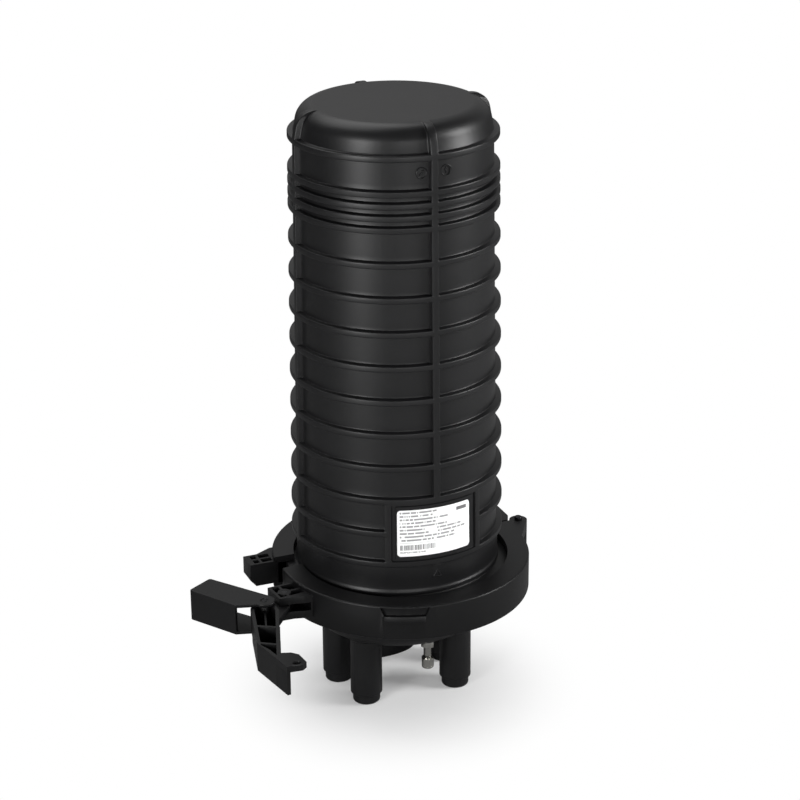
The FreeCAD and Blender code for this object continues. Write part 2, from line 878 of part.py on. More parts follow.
def clamp_front():
    root = inside_channel()
    band = channel_ring().common(half_space(True)).cut(tab_recess())
    lower, middle, upper = knuckle_levels()
    ears = [knuckle(lower[0], lower[1], -1).cut(root), knuckle(upper[0], upper[1], -1).cut(root)]
    clear = knuckle_radius + knuckle_clearance
    clearing = cylinder(hinge_x, hinge_y, middle[0] - knuckle_gap, middle[1] + knuckle_gap, clear)
    half = band.fuse(ears + [pivot_block().cut(root), ledge_bar()])
    return open_front(half.cut([clearing, hinge_hole()]).removeSplitter())


def catch_toe():
    """Wedge that bevels the lower outer edge of the catch block, drawn flat and then stood up."""
    toe = prism([
        (catch_outer_x - past, block_bottom - past),
        (catch_outer_x + catch_chamfer, block_bottom - past),
        (catch_outer_x - past, block_bottom + catch_chamfer + past),
    ], catch_front_y - past, catch_back_y + past)
    toe.rotate(CENTRE, SIDEWAYS, 90)
    toe.translate(V(0, catch_front_y + catch_back_y, 0))
    return toe


def catch_block():
    """Ribbed block on the back half that the draw hook pulls on."""
    root = clamp_wall - clamp_radius
    inner = root + block_root_length
    body = block((catch_outer_x, catch_front_y, block_bottom), (inner, catch_back_y, block_top))
    pocket_low = block_top - catch_pocket_depth
    pocket_high = block_top + past
    middle_x = (catch_outer_x + root) / 2
    middle_y = (catch_front_y + catch_back_y) / 2
    half_rib = block_rib / 2
    pocket = block(
        (catch_outer_x + 2 * block_wall, catch_front_y + block_wall, pocket_low),
        (root - block_wall, catch_back_y - block_wall, pocket_high),
    )
    pocket = pocket.cut([
        block((middle_x - block_rib, catch_front_y, pocket_low), (middle_x, catch_back_y, pocket_high)),
        block((catch_outer_x, middle_y - half_rib, pocket_low), (root, middle_y + half_rib, pocket_high)),
    ])
    gusset = prism([
        (root - gusset_length, catch_back_y - block_wall / 2),
        (root + gusset_root, catch_back_y - block_wall / 2),
        (root + gusset_root, catch_back_y + gusset_depth),
        (root + gusset_root / 2, catch_back_y + gusset_depth),
    ], block_top - gusset_height, block_top)
    return body.cut([catch_toe(), pocket]).fuse(gusset)


def clamp_back():
    root = inside_channel()
    band = channel_ring().common(half_space(False))
    lower, middle, upper = knuckle_levels()
    ear = knuckle(middle[0], middle[1], 1).cut(root)
    clear = knuckle_radius + knuckle_clearance
    clearings = [
        cylinder(hinge_x, hinge_y, lower[0] - past, lower[1] + knuckle_gap, clear),
        cylinder(hinge_x, hinge_y, upper[0] - knuckle_gap, upper[1] + past, clear),
    ]
    edge = split_right_y + split_gap / 2
    inner = clamp_radius - clamp_wall
    plate = prism([
        (inner, edge),
        (hinge_plate_x - knuckle_radius / 2, edge),
        (hinge_plate_x, edge + knuckle_radius),
        (hinge_plate_x, edge + hinge_plate_length),
        (inner, edge + hinge_plate_length + knuckle_radius),
    ], clamp_bottom, clamp_top)
    half = band.fuse([ear, plate.cut(root), catch_block().cut(root)])
    return half.cut(clearings + [hinge_hole()]).removeSplitter()


def hinge_pin():
    top = clamp_top + hinge_pin_head_height
    shank = cylinder(hinge_x, hinge_y, clamp_bottom - hinge_pin_below, clamp_top, hinge_pin_radius)
    head = cylinder(hinge_x, hinge_y, clamp_top, top, hinge_pin_head_radius)
    crown = [edge for edge in head.Edges if abs(edge.CenterOfMass.z - top) < TOUCH]
    return fuse(shank, head.makeFillet(hinge_pin_head_round, crown))


def handle_pin():
    return open_front(cylinder(pivot_x, pivot_y, block_bottom, block_top, pivot_pin_radius))


# Draw hook: a channel that pulls the catch block towards the pivot block


def hook_point(along, across):
    """A place on the hook from its pivot, along its length and across it."""
    length = polar(1, hook_direction)
    inward = polar(1, hook_direction - 90)
    return hook_pivot + length * along + inward * across


def hook_outline(inset):
    """Outline of the hook seen from above, shrunk on its three walls."""
    corners = [
        (0, -hook_ear_radius),
        (hook_window, -hook_outer_reach + inset),
        (hook_length - inset, -hook_outer_reach + inset),
        (hook_length - inset, hook_inner_reach),
        (0, hook_ear_radius),
    ]
    return [(hook_point(a, b).x, hook_point(a, b).y) for a, b in corners]


def draw_hook():
    low = block_bottom - hook_clearance - hook_sheet
    high = block_top + hook_clearance + hook_sheet
    shell = prism(hook_outline(0), low, high)
    far = hook_point(hook_length, -hook_outer_reach)
    near = hook_point(hook_length, hook_inner_reach)
    uprights = []
    for edge in shell.Edges:
        spot = edge.CenterOfMass
        at_end = min((spot - V(p.x, p.y, spot.z)).Length for p in (far, near)) < TOUCH
        if at_end and abs(spot.z - (low + high) / 2) < TOUCH:
            uprights.append(edge)
    shell = shell.makeFillet(hook_corner_round, uprights)
    shell = shell.fuse(cylinder(hook_pivot_x, hook_pivot_y, low, high, hook_ear_radius))
    gap_low = block_bottom - hook_clearance
    gap_high = block_top + hook_clearance
    cavity = [
        (-2 * hook_ear_radius, -2 * hook_ear_radius),
        (hook_window, -2 * hook_outer_reach),
        (hook_window, -hook_outer_reach + hook_sheet),
        (hook_length - hook_sheet, -hook_outer_reach + hook_sheet),
        (hook_length - hook_sheet, 3 * hook_inner_reach),
        (-2 * hook_ear_radius, 3 * hook_inner_reach),
    ]
    outline = [(hook_point(a, b).x, hook_point(a, b).y) for a, b in cavity]
    hole = cylinder(hook_pivot_x, hook_pivot_y, low - past, high + past, hook_hole_radius)
    return open_front(shell.cut([prism(outline, gap_low, gap_high), hole]).removeSplitter())


def hook_pin():
    low = block_bottom - hook_clearance - hook_sheet
    high = block_top + hook_clearance + hook_sheet
    return open_front(cylinder(hook_pivot_x, hook_pivot_y, low, high, hook_pin_radius))


# Latch handle: a ribbed trough with a finger plate and a tab for a seal


def between(a, b, share):
    return (a[0] + (b[0] - a[0]) * share, a[1] + (b[1] - a[1]) * share)


def toward(a, b, distance):
    """The place at a distance from one corner on the way to another."""
    return between(a, b, distance / math.hypot(b[0] - a[0], b[1] - a[1]))


def offset_line(a, b, distance):
    """Both ends of a line moved sideways to its left."""
    length = math.hypot(b[0] - a[0], b[1] - a[1])
    side = (-(b[1] - a[1]) / length * distance, (b[0] - a[0]) / length * distance)
    return (a[0] + side[0], a[1] + side[1]), (b[0] + side[0], b[1] + side[1])


def handle_outline(inset):
    """Outline of the trough and its head seen from above."""
    reach = handle_boss_radius + handle_wall - inset
    side_a, side_b = offset_line(from_hook(handle_side_start), from_hook(handle_side_end), inset)
    inner_a, inner_b = offset_line(from_hook(handle_inside_end), from_hook(handle_inside_start), inset)
    meeting = from_hook(handle_meeting)
    head = [from_hook((reach * x, reach * y)) for x, y in handle_head_corners]
    return [side_a] + head + [inner_b, inner_a, (meeting[0] + inset, meeting[1] + inset), side_b]


def strip(a, b, width, low, high):
    """Straight wall from one place to another, to the left of its line."""
    c, d = offset_line(a, b, width)
    return prism([a, b, d, c], low, high)


def latch_handle():
    top = block_top - handle_head_clearance
    bottom = block_bottom + handle_head_clearance
    deep = block_bottom - handle_deep_drop
    side_start = from_hook(handle_side_start)
    side_end = from_hook(handle_side_end)
    inside_start = from_hook(handle_inside_start)
    inside_end = from_hook(handle_inside_end)
    meeting = from_hook(handle_meeting)
    trough = prism(handle_outline(0), bottom, top)
    deeper = prism([
        between(side_start, side_end, handle_deep_shares[0]),
        between(inside_start, inside_end, handle_deep_shares[1]),
        inside_end,
        meeting,
        side_end,
    ], deep, bottom + past)
    cavity = prism(handle_outline(handle_wall), bottom + handle_floor, top + past)
    ribs = []
    for side_share, inside_share in handle_rib_shares:
        left = between(side_start, side_end, side_share)
        right = between(inside_start, inside_end, inside_share)
        ribs.append(strip(left, right, handle_floor, bottom, top))
    boss = cylinder(hook_pivot_x, hook_pivot_y, bottom, top, handle_boss_radius)
    plate = strip(side_end, from_hook(handle_plate_end), handle_wall, deep, top)
    eye_low = block_middle - eye_thickness / 2
    eye_high = block_middle + eye_thickness / 2
    arm = prism([
        (pivot_x + arm_back_corner[0], pivot_y + arm_back_corner[1]),
        (pivot_x + arm_front_corner[0], pivot_y + arm_front_corner[1]),
        between(inside_start, inside_end, arm_inside_share),
        from_hook((0, 0)),
        from_hook((handle_boss_radius, handle_boss_radius)),
    ], eye_low, eye_high)
    eye = cylinder(pivot_x, pivot_y, eye_low, eye_high, eye_radius)
    near = from_hook(tab_near)
    far = from_hook(tab_far)
    tab_low = top - tab_thickness
    tab = prism([
        from_hook(handle_plate_end),
        toward(near, from_hook(handle_plate_end), tab_corner),
        toward(near, far, tab_corner),
        toward(far, near, tab_corner),
        toward(far, inside_end, tab_corner),
        inside_end,
        meeting,
    ], tab_low, top)
    hole = from_hook(tab_hole)
    holes = [
        cylinder(hook_pivot_x, hook_pivot_y, bottom - past, top + past, hook_hole_radius),
        cylinder(pivot_x, pivot_y, eye_low - past, eye_high + past, pivot_hole_radius),
        cylinder(hole[0], hole[1], tab_low - past, top + past, tab_hole_radius),
    ]
    shell = trough.fuse(deeper).cut(cavity)
    body = shell.fuse(ribs + [boss, plate, arm, eye, tab])
    return open_front(body.cut(holes).removeSplitter())


# Bracket, trays and cable fixings inside the dome


def bracket_frame():
    """Folded sheet bracket that stands on the base and carries the trays."""
    low = bowl_bottom + bowl_wall
    half = bracket_width / 2
    back = bracket_y + bracket_sheet
    foot_high = low + bracket_sheet
    body = fuse(
        block((-half, bracket_y, low), (half, back, bracket_top)),
        block((-half, bracket_y - bracket_foot_depth, low), (half, back, foot_high)),
        block((-half, bracket_y - bracket_flange, low), (bracket_sheet - half, back, bracket_top)),
        block((half - bracket_sheet, bracket_y - bracket_flange, low), (half, back, bracket_top)),
    )
    window_low = cable_clamp_bottom + bracket_window_rise
    window_high = bracket_top - bracket_window_margin
    openings = [
        block((-half / 2, bracket_y - past, window_low), (half / 2, back + past, window_high)),
        cylinder(0, oval_centre_y, low - past, foot_high + past, oval_half_width - port_wall),
    ]
    y = bracket_y - bracket_foot_depth / 2
    screw_hole_radius = bracket_screw_radius + valve_hole_clearance
    for x in bracket_screw_places():
        openings.append(cylinder(x, y, low - past, foot_high + past, screw_hole_radius))
    return body.cut(openings).removeSplitter()


def bracket_screw_places():
    return (-bracket_width / 4, bracket_width / 4)


def bracket_screws():
    """Two pan-head screws that hold the bracket's foot."""
    low = bowl_bottom + bowl_wall + bracket_sheet
    y = bracket_y - bracket_foot_depth / 2
    screws = []
    for x in bracket_screw_places():
        head = cylinder(x, y, low, low + bracket_screw_head, 2 * bracket_screw_radius)
        shank = cylinder(x, y, low - bracket_sheet, low + bracket_screw_overlap, bracket_screw_radius)
        screws.append(fuse(head, shank))
    return group(screws)


def tray_plane(index):
    """Y of the back face of one tray, counted from the bracket outwards."""
    return bracket_y - bracket_flange - carrier_plate - index * (tray_depth + tray_gap)


def crosswise(half, y, height, radius):
    """A rod from side to side through both lugs of a tray."""
    return Part.makeCylinder(radius, 2 * half, V(-half, y, height), SIDEWAYS)


def tray_carrier():
    """Stepped hinge carrier that holds the feet of the trays."""
    half = tray_width / 4
    front = tray_plane(tray_count - 1) - tray_depth
    back = bracket_y
    low = tray_bottom - tray_lug_drop - 3 * carrier_plate
    high = tray_bottom - carrier_gap
    body = fuse(
        block((-half, front, low), (half, back, low + carrier_plate)),
        block((-half, back - carrier_plate, low), (half, back, high)),
        block((-half, front, low), (carrier_plate - half, back, high)),
        block((half - carrier_plate, front, low), (half, back, high)),
    )
    holes = []
    for i in range(tray_count):
        y = tray_plane(i) - tray_depth / 2
        holes.append(crosswise(half + past, y, tray_pivot_height, tray_hole_radius))
    return body.cut(holes)


def tray_inside(back):
    """Splice holders and the two spools that the fibre winds round."""
    middle = tray_bottom + tray_length / 2
    floor = back - tray_wall
    half = tray_holder_width / 2
    reach = tray_holder_length / 2
    pieces = []
    for i in range(tray_holder_fingers):
        x = (i - (tray_holder_fingers - 1) / 2) * tray_holder_pitch
        low = (x - half, floor - tray_holder_rise, middle - reach)
        pieces.append(block(low, (x + half, floor, middle + reach)))
    height = tray_depth - tray_wall - tray_spool_drop
    for z in (middle - tray_spool_offset, middle + tray_spool_offset):
        spool = Part.makeCylinder(tray_spool_radius, height, V(0, floor, z), FORWARD)
        inside = tray_spool_radius - tray_wall
        well = Part.makeCylinder(inside, tray_depth + past, V(0, floor + past, z), FORWARD)
        pieces.append(spool.cut(well))
    return pieces


def splice_tray(index):
    """Open tray with a rim, splice holders and two hinge lugs."""
    back = tray_plane(index)
    front = back - tray_depth
    half = tray_width / 2
    plate = rounded_in_front(block((-half, front, tray_bottom), (half, back, tray_top)), tray_corner)
    hollow_low = (tray_wall - half, front - past, tray_bottom + tray_wall)
    hollow_high = (half - tray_wall, back - tray_wall, tray_top - tray_wall)
    hollow = rounded_in_front(block(hollow_low, hollow_high), tray_corner - tray_wall)
    pieces = tray_inside(back)
    lug_low = tray_bottom - tray_lug_drop
    outer = tray_width / 4 - carrier_plate - tray_lug_gap
    for x in (-outer, outer - tray_lug_width):
        low = (x, front + tray_lug_inset, lug_low)
        pieces.append(block(low, (x + tray_lug_width, back - tray_lug_inset, tray_bottom + past)))
    body = plate.cut(hollow).fuse(pieces)
    hole = crosswise(half, (front + back) / 2, tray_pivot_height, tray_hole_radius)
    return body.cut(hole).removeSplitter()


def tray_hinge_pins():
    half = tray_width / 4
    pins = []
    for i in range(tray_count):
        y = tray_plane(i) - tray_depth / 2
        pins.append(crosswise(half, y, tray_pivot_height, tray_pin_radius))
    return group(pins)


def tray_cover():
    """Clear lid on the front tray."""
    front = tray_plane(tray_count - 1) - tray_depth
    half = tray_width / 2 - tray_cover_inset
    low = (-half, front - tray_cover_thickness, tray_bottom + tray_cover_inset)
    lid = block(low, (half, front, tray_top - tray_cover_inset))
    return rounded_in_front(lid, tray_corner - tray_cover_inset)


def tray_strap():
    """Hook and loop strap round the trays and the bracket."""
    front = tray_plane(tray_count - 1) - tray_depth - tray_cover_thickness
    back = bracket_y + bracket_sheet
    half = tray_width / 2
    low = tray_top - strap_below_top
    high = low + strap_width
    outer_low = (-half - strap_thickness, front - strap_thickness, low)
    outer = block(outer_low, (half + strap_thickness, back + strap_thickness, high))
    return outer.cut(block((-half, front, low - past), (half, back, high + past)))


def fibre_basket():
    """Open basket behind the bracket for loose tube storage."""
    half = bracket_width / 2 - basket_inset
    back = bracket_y + bracket_sheet
    rim = back + basket_depth
    low = tray_bottom
    high = tray_top - basket_below_top
    pieces = []
    for z in (low, high - bracket_sheet):
        pieces.append(block((-half, back, z), (half, rim, z + bracket_sheet)))
    finger_places = (low + basket_finger_height, (low + high) / 2, high - 2 * basket_finger_height)
    for wall_x, finger_x in ((-half, -half), (half - bracket_sheet, half - basket_finger)):
        pieces.append(block((wall_x, back, low), (wall_x + bracket_sheet, rim, high)))
        for z in finger_places:
            finger = (finger_x, rim - bracket_sheet, z)
            pieces.append(block(finger, (finger_x + basket_finger, rim, z + basket_finger_height)))
    return fuse(block((-half, back, low), (half, back + bracket_sheet, high)), *pieces)


def cable_clamp_places():
    middle = (cable_clamp_count - 1) / 2
    return [(i - middle) * cable_clamp_pitch for i in range(cable_clamp_count)]


def cable_clamps():
    """Four saddles on the bracket that grip the cable jackets."""
    high = cable_clamp_bottom + cable_clamp_height
    y = bracket_y - cable_clamp_radius
    saddles = []
    for x in cable_clamp_places():
        outer = cylinder(x, y, cable_clamp_bottom, high, cable_clamp_radius)
        bore = cylinder(x, y, cable_clamp_bottom - past, high + past, cable_clamp_radius - cable_clamp_wall)
        saddles.append(outer.cut(bore))
    return group(saddles)


def member_posts():
    """Posts with cross holes that clamp the strength members."""
    z = cable_clamp_bottom + cable_clamp_height + member_post_rise
    y = bracket_y - member_post_length / 2
    reach = 2 * member_post_radius
    posts = []
    for x in cable_clamp_places():
        post = Part.makeCylinder(member_post_radius, member_post_length, V(x, bracket_y, z), FORWARD)
        posts.append(post.cut(cylinder(x, y, z - reach, z + reach, member_hole_radius)))
    return group(posts)


save("dome_cover", dome_cover())
save("label", label())
save("base_body", base_body())
save("seal_ring", seal_ring())
save("valve_body", valve_body())
save("valve_washer", valve_washer())
save("valve_nut", valve_nut())
save("valve_cap", valve_cap())
save("valve_core", valve_core())
save("clamp_front", clamp_front())
save("clamp_back", clamp_back())
save("hinge_pin", hinge_pin())
save("handle_pin", handle_pin())
save("draw_hook", draw_hook())
save("hook_pin", hook_pin())
save("latch_handle", latch_handle())
save("bracket_frame", bracket_frame())
save("bracket_screws", bracket_screws())
save("tray_carrier", tray_carrier())
for number in range(tray_count):
    save("splice_tray_" + str(number + 1), splice_tray(number))
save("tray_hinge_pins", tray_hinge_pins())
save("tray_cover", tray_cover())
save("tray_strap", tray_strap())
save("fibre_basket", fibre_basket())
save("cable_clamps", cable_clamps())
save("member_posts", member_posts())
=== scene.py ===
import json
import math

import bmesh
import bpy
import numpy as np
from mathutils import Matrix, Vector

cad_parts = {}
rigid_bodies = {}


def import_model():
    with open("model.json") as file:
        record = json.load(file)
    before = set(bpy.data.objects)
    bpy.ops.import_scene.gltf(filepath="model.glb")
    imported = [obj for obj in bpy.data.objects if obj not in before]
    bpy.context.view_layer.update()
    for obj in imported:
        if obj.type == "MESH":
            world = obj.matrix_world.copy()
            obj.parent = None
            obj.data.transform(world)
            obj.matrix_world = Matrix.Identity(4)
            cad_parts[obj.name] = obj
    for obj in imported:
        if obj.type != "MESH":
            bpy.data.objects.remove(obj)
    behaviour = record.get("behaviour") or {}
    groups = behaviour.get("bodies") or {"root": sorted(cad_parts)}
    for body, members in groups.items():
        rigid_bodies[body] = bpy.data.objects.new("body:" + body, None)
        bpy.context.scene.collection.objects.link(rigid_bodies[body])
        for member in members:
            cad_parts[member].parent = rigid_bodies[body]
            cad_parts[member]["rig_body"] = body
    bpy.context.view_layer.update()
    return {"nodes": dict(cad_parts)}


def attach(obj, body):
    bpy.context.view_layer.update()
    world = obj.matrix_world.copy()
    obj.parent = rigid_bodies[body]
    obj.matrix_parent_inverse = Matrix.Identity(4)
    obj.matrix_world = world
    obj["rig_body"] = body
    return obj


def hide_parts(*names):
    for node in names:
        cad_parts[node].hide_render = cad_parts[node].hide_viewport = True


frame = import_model()

# The view and the studio. A dome closure stands on a white sweep under large soft lamps. The
# camera stands 2.1 m away with a long lens, a little above the dome, and looks down on it.
camera_place = (-0.7031, -1.7500, 1.0271)
camera_turn = -22.0
camera_tilt = 68.05
camera_roll = -0.46
camera_lens = 106.1
sensor = 36.0
nearest = 0.05
farthest = 60.0
floor_share = 0.18
floor_near = 0.03
floor_far = 0.17
floor_middle = (-0.006, -0.016, 0.0)
floor_reflection_shade = 0.75
floor_reach = 14.0
studio_side = 0.05
studio_back = 0.34
bright_azimuth = math.radians(68)
bright_rise = 0.45
bright_starts = 0.55
bright_full = 0.98
lamp_aim = (0, 0, 0.28)
softboxes = (
    ("softbox_left", 212, 8, 1.7, (0.5, 0.6), 17.5),
    ("softbox_front", 264, 8, 1.7, (0.9, 0.5), 6.5),
    ("softbox_right", 330, 20, 1.9, (0.7, 1.0), 34),
    ("softbox_top", 110, 66, 2.2, (2.0, 1.6), 25),
)

camera_data = bpy.data.cameras.new("camera")
camera_data.lens = camera_lens
camera_data.sensor_width = sensor
camera_data.clip_start = nearest
camera_data.clip_end = farthest
camera = bpy.data.objects.new("camera", camera_data)
bpy.context.scene.collection.objects.link(camera)
camera.matrix_world = (
    Matrix.Translation(camera_place)
    @ Matrix.Rotation(math.radians(camera_turn), 4, "Z")
    @ Matrix.Rotation(math.radians(camera_tilt), 4, "X")
    @ Matrix.Rotation(math.radians(camera_roll), 4, "Z")
)
bpy.context.scene.camera = camera
bpy.context.scene.view_settings.view_transform = "Standard"


def srgb(code):
    """Linear colour from an sRGB hex code: each channel c becomes ((c + 0.055) / 1.055) to the 2.4."""
    parts = np.array([int(code[i:i + 2], 16) for i in (1, 3, 5)]) / 255
    linear = np.where(parts <= 0.04045, parts / 12.92, ((parts + 0.055) / 1.055) ** 2.4)
    return (*linear.tolist(), 1.0)


def add(tree, kind, settings=None, **inputs):
    """Adds a node, sets its own settings, and fills or links its inputs by name or number.

    An input is a value, an output to link, or a node whose first output is linked."""
    made = tree.nodes.new(kind)
    for name, value in (settings or {}).items():
        setattr(made, name, value)
    for name, value in inputs.items():
        numbered = name[0] == "_" and name[1:].isdigit()
        socket = made.inputs[int(name[1:]) if numbered else name.replace("_", " ")]
        if isinstance(value, bpy.types.Node):
            value = value.outputs[0]
        if isinstance(value, bpy.types.NodeSocket):
            tree.links.new(value, socket)
        else:
            socket.default_value = value
    return made


def new_material(name):
    """An empty node material with its output node."""
    material = bpy.data.materials.new(name)
    material.use_nodes = True
    material.node_tree.nodes.clear()
    return material, material.node_tree, material.node_tree.nodes.new("ShaderNodeOutputMaterial")


def white_board():
    """White painted board, with a faint grain. The camera sees it fade to plain white away from
    the closure. In reflections it has painted shade: it is mixed with a dark grey there.

    Objects are in metres, so a texture's scale is cells to the metre: 40 is a grain of 25 mm."""
    material, tree, out = new_material("white_board")
    path = add(tree, "ShaderNodeLightPath")
    place = add(tree, "ShaderNodeTexCoord")
    grain = add(tree, "ShaderNodeTexNoise", Vector=place.outputs["Object"], Scale=40.0, Detail=3.0)
    away = add(
        tree, "ShaderNodeVectorMath", {"operation": "DISTANCE"},
        _0=place.outputs["Object"], _1=floor_middle,
    )
    fade = add(
        tree, "ShaderNodeMapRange", {"interpolation_type": "SMOOTHSTEP"},
        Value=away.outputs["Value"], From_Min=floor_near, From_Max=floor_far,
        To_Min=floor_share, To_Max=1.0,
    )
    tone = add(
        tree, "ShaderNodeMix", {"data_type": "RGBA"},
        _0=grain.outputs["Fac"], _6=srgb("#efefef"), _7=srgb("#f4f4f4"),
    )
    board = add(tree, "ShaderNodeBsdfDiffuse", Color=tone.outputs[2])
    # Painted shade: in reflections the board is mixed with this dark grey, so the closure mirrors it
    # darker than it is lit.
    shade = add(tree, "ShaderNodeBsdfDiffuse", Color=srgb("#4a4a4a"))
    dim = add(
        tree, "ShaderNodeMath", {"operation": "MULTIPLY"},
        _0=path.outputs["Is Glossy Ray"], _1=floor_reflection_shade,
    )
    seen = add(tree, "ShaderNodeMixShader", Fac=dim, _1=board, _2=shade)
    white = add(tree, "ShaderNodeEmission", Color=(1, 1, 1, 1), Strength=1.0)
    mixed = add(
        tree, "ShaderNodeMath", {"operation": "MULTIPLY"},
        _0=path.outputs["Is Camera Ray"], _1=fade,
    )
    both = add(tree, "ShaderNodeMixShader", Fac=mixed, _1=seen, _2=white)
    tree.links.new(both.outputs[0], out.inputs[0])
    return material


def sweep_mesh():
    """A flat board: an even grid, much wider than the view."""
    along = np.linspace(-floor_reach, floor_reach, 8)
    x, y = np.meshgrid(along, along, indexing="ij")
    return np.stack([x, y, np.zeros_like(x)], -1)


def grid_faces(rows, columns, around=False, closed=False):
    """Quads of a grid: each joins a point with its neighbours along both parameters."""
    r = np.arange(rows if closed else rows - 1)
    c = np.arange(columns if around else columns - 1)
    r, c = np.meshgrid(r, c, indexing="ij")
    r2 = (r + 1) % rows
    c2 = (c + 1) % columns
    quads = np.stack([r * columns + c, r * columns + c2, r2 * columns + c2, r2 * columns + c], -1)
    return quads.reshape(-1, 4)


def mesh_piece(name, points, faces, smooth=True):
    """A mesh object at the origin from arrays of points and faces."""
    mesh = bpy.data.meshes.new(name)
    mesh.from_pydata(points.reshape(-1, 3).tolist(), [], faces.tolist())
    mesh.polygons.foreach_set("use_smooth", np.full(len(mesh.polygons), smooth))
    mesh.validate()
    mesh.update()
    piece = bpy.data.objects.new(name, mesh)
    bpy.context.scene.collection.objects.link(piece)
    return piece


sweep_points = sweep_mesh()
sweep = mesh_piece("sweep", sweep_points, grid_faces(*sweep_points.shape[:2]))
sweep.data.materials.append(white_board())

# The camera sees the world plain white. In reflections it is dim, but brighter behind the
# closure, where a real studio has its lit wall.
world = bpy.data.worlds.new("studio")
bpy.context.scene.world = world
world.use_nodes = True
world.node_tree.nodes.clear()
world_path = add(world.node_tree, "ShaderNodeLightPath")
world_place = add(world.node_tree, "ShaderNodeTexCoord")
behind = Vector((math.cos(bright_azimuth), math.sin(bright_azimuth), bright_rise)).normalized()
world_turn = add(
    world.node_tree, "ShaderNodeVectorMath", {"operation": "DOT_PRODUCT"},
    _0=world_place.outputs["Generated"], _1=behind,
)
world_level = add(
    world.node_tree, "ShaderNodeMapRange", {"interpolation_type": "SMOOTHSTEP"},
    Value=world_turn.outputs["Value"], From_Min=bright_starts, From_Max=bright_full,
    To_Min=studio_side, To_Max=studio_back,
)
world_dim = add(world.node_tree, "ShaderNodeBackground", Color=(1, 1, 1, 1), Strength=world_level)
world_white = add(world.node_tree, "ShaderNodeBackground", Color=(1, 1, 1, 1), Strength=1.0)
world_mix = add(
    world.node_tree, "ShaderNodeMixShader",
    Fac=world_path.outputs["Is Camera Ray"], _1=world_dim, _2=world_white,
)
world_out = world.node_tree.nodes.new("ShaderNodeOutputWorld")
world.node_tree.links.new(world_mix.outputs[0], world_out.inputs[0])


def softbox(name, azimuth, elevation, distance, size, watts):
    """A rectangular lamp at an azimuth and elevation about the dome's middle, facing it."""
    middle = Vector(lamp_aim)
    a = math.radians(azimuth)
    e = math.radians(elevation)
    way = Vector((math.cos(a) * math.cos(e), math.sin(a) * math.cos(e), math.sin(e)))
    lamp = bpy.data.lights.new(name, "AREA")
    lamp.shape = "RECTANGLE"
    lamp.size = size[0]
    lamp.size_y = size[1]
    lamp.energy = watts
    holder = bpy.data.objects.new(name, lamp)
    holder.location = middle + way * distance
    holder.rotation_euler = (-way).to_track_quat("-Z", "Y").to_euler()
    bpy.context.scene.collection.objects.link(holder)


for lamp in softboxes:
    softbox(*lamp)

# Base. A bowl moulded in black polypropylene, in one with its clamping flange, four round cable
# ports and an oval one. The port ends are closed when new, and are sawn off for each cable.
same_place = 0.00002
same_plane = math.radians(0.6)
flat_area = 0.0009


def black_moulding(name, tone, spread, roughness, grain, glint):
    """Black plastic moulded in a spark-eroded tool: a soft sheen over a fine even grain.

    Mould flow leaves the tone and the gloss a little uneven over some 45 mm. The grain is in
    metres, and the glint is the strength of the reflections."""
    material, tree, out = new_material(name)
    place = add(tree, "ShaderNodeTexCoord")
    spot = place.outputs["Object"]
    flow = add(tree, "ShaderNodeTexNoise", Vector=spot, Scale=22.0, Detail=4.0, Roughness=0.55)
    fine = add(tree, "ShaderNodeTexNoise", Vector=spot, Scale=1 / grain, Detail=2.0, Roughness=0.5)
    tint = add(
        tree, "ShaderNodeMix", {"data_type": "RGBA"},
        _0=flow.outputs["Fac"], _6=srgb(tone), _7=srgb(spread),
    )
    gloss = add(
        tree, "ShaderNodeMapRange",
        Value=flow.outputs["Fac"], To_Min=roughness - 0.03, To_Max=roughness + 0.04,
    )
    speck = add(tree, "ShaderNodeMapRange", Value=fine.outputs["Fac"], To_Min=-0.02, To_Max=0.02)
    rough = add(tree, "ShaderNodeMath", {"operation": "ADD"}, _0=gloss, _1=speck)
    bump = add(tree, "ShaderNodeBump", Strength=0.12, Distance=0.0001, Height=fine.outputs["Fac"])
    skin = add(
        tree, "ShaderNodeBsdfPrincipled",
        Base_Color=tint.outputs[2], Roughness=rough, Normal=bump,
        IOR=1.49, Specular_IOR_Level=glint,
    )
    tree.links.new(skin.outputs[0], out.inputs[0])
    return material


def softened(name, node, width, material, segments=2, angle=28.0):
    """A copy of a node whose sharp edges are rounded to a radius, as a moulding's are.

    Points in one place are merged first, and faces in one plane joined. Large or many-sided
    faces stay flat."""
    mesh = frame["nodes"][node].data.copy()
    mesh.name = name
    made = bmesh.new()
    made.from_mesh(mesh)
    bmesh.ops.remove_doubles(made, verts=made.verts, dist=same_place)
    bmesh.ops.dissolve_limit(made, angle_limit=same_plane, verts=made.verts, edges=made.edges)
    made.to_mesh(mesh)
    made.free()
    corners = np.zeros(len(mesh.polygons), dtype=np.int32)
    mesh.polygons.foreach_get("loop_total", corners)
    areas = np.zeros(len(mesh.polygons), dtype=np.float32)
    mesh.polygons.foreach_get("area", areas)
    mesh.polygons.foreach_set("use_smooth", (corners <= 4) & (areas < flat_area))
    mesh.materials.clear()
    mesh.materials.append(material)
    piece = bpy.data.objects.new(name, mesh)
    bpy.context.scene.collection.objects.link(piece)
    bevel = piece.modifiers.new("rounding", "BEVEL")
    bevel.width = width
    bevel.segments = segments
    bevel.limit_method = "ANGLE"
    bevel.angle_limit = math.radians(angle)
    bevel.harden_normals = True
    bevel.use_clamp_overlap = True
    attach(piece, frame["nodes"][node]["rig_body"])
    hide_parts(node)
    return piece


black = black_moulding("black_polypropylene", "#0f0f10", "#151516", 0.40, 0.0007, 0.42)
softened("base_moulding", "base_body", 0.0008, black)

# Air valve. Nickel-plated brass stem, held in the base by a nut and a washer, with a knurled
# cap. It is used to put air into the closure and to see that the seals hold. The posts for the
# cables' strength members are the same metal.
lathe_line = 0.0002


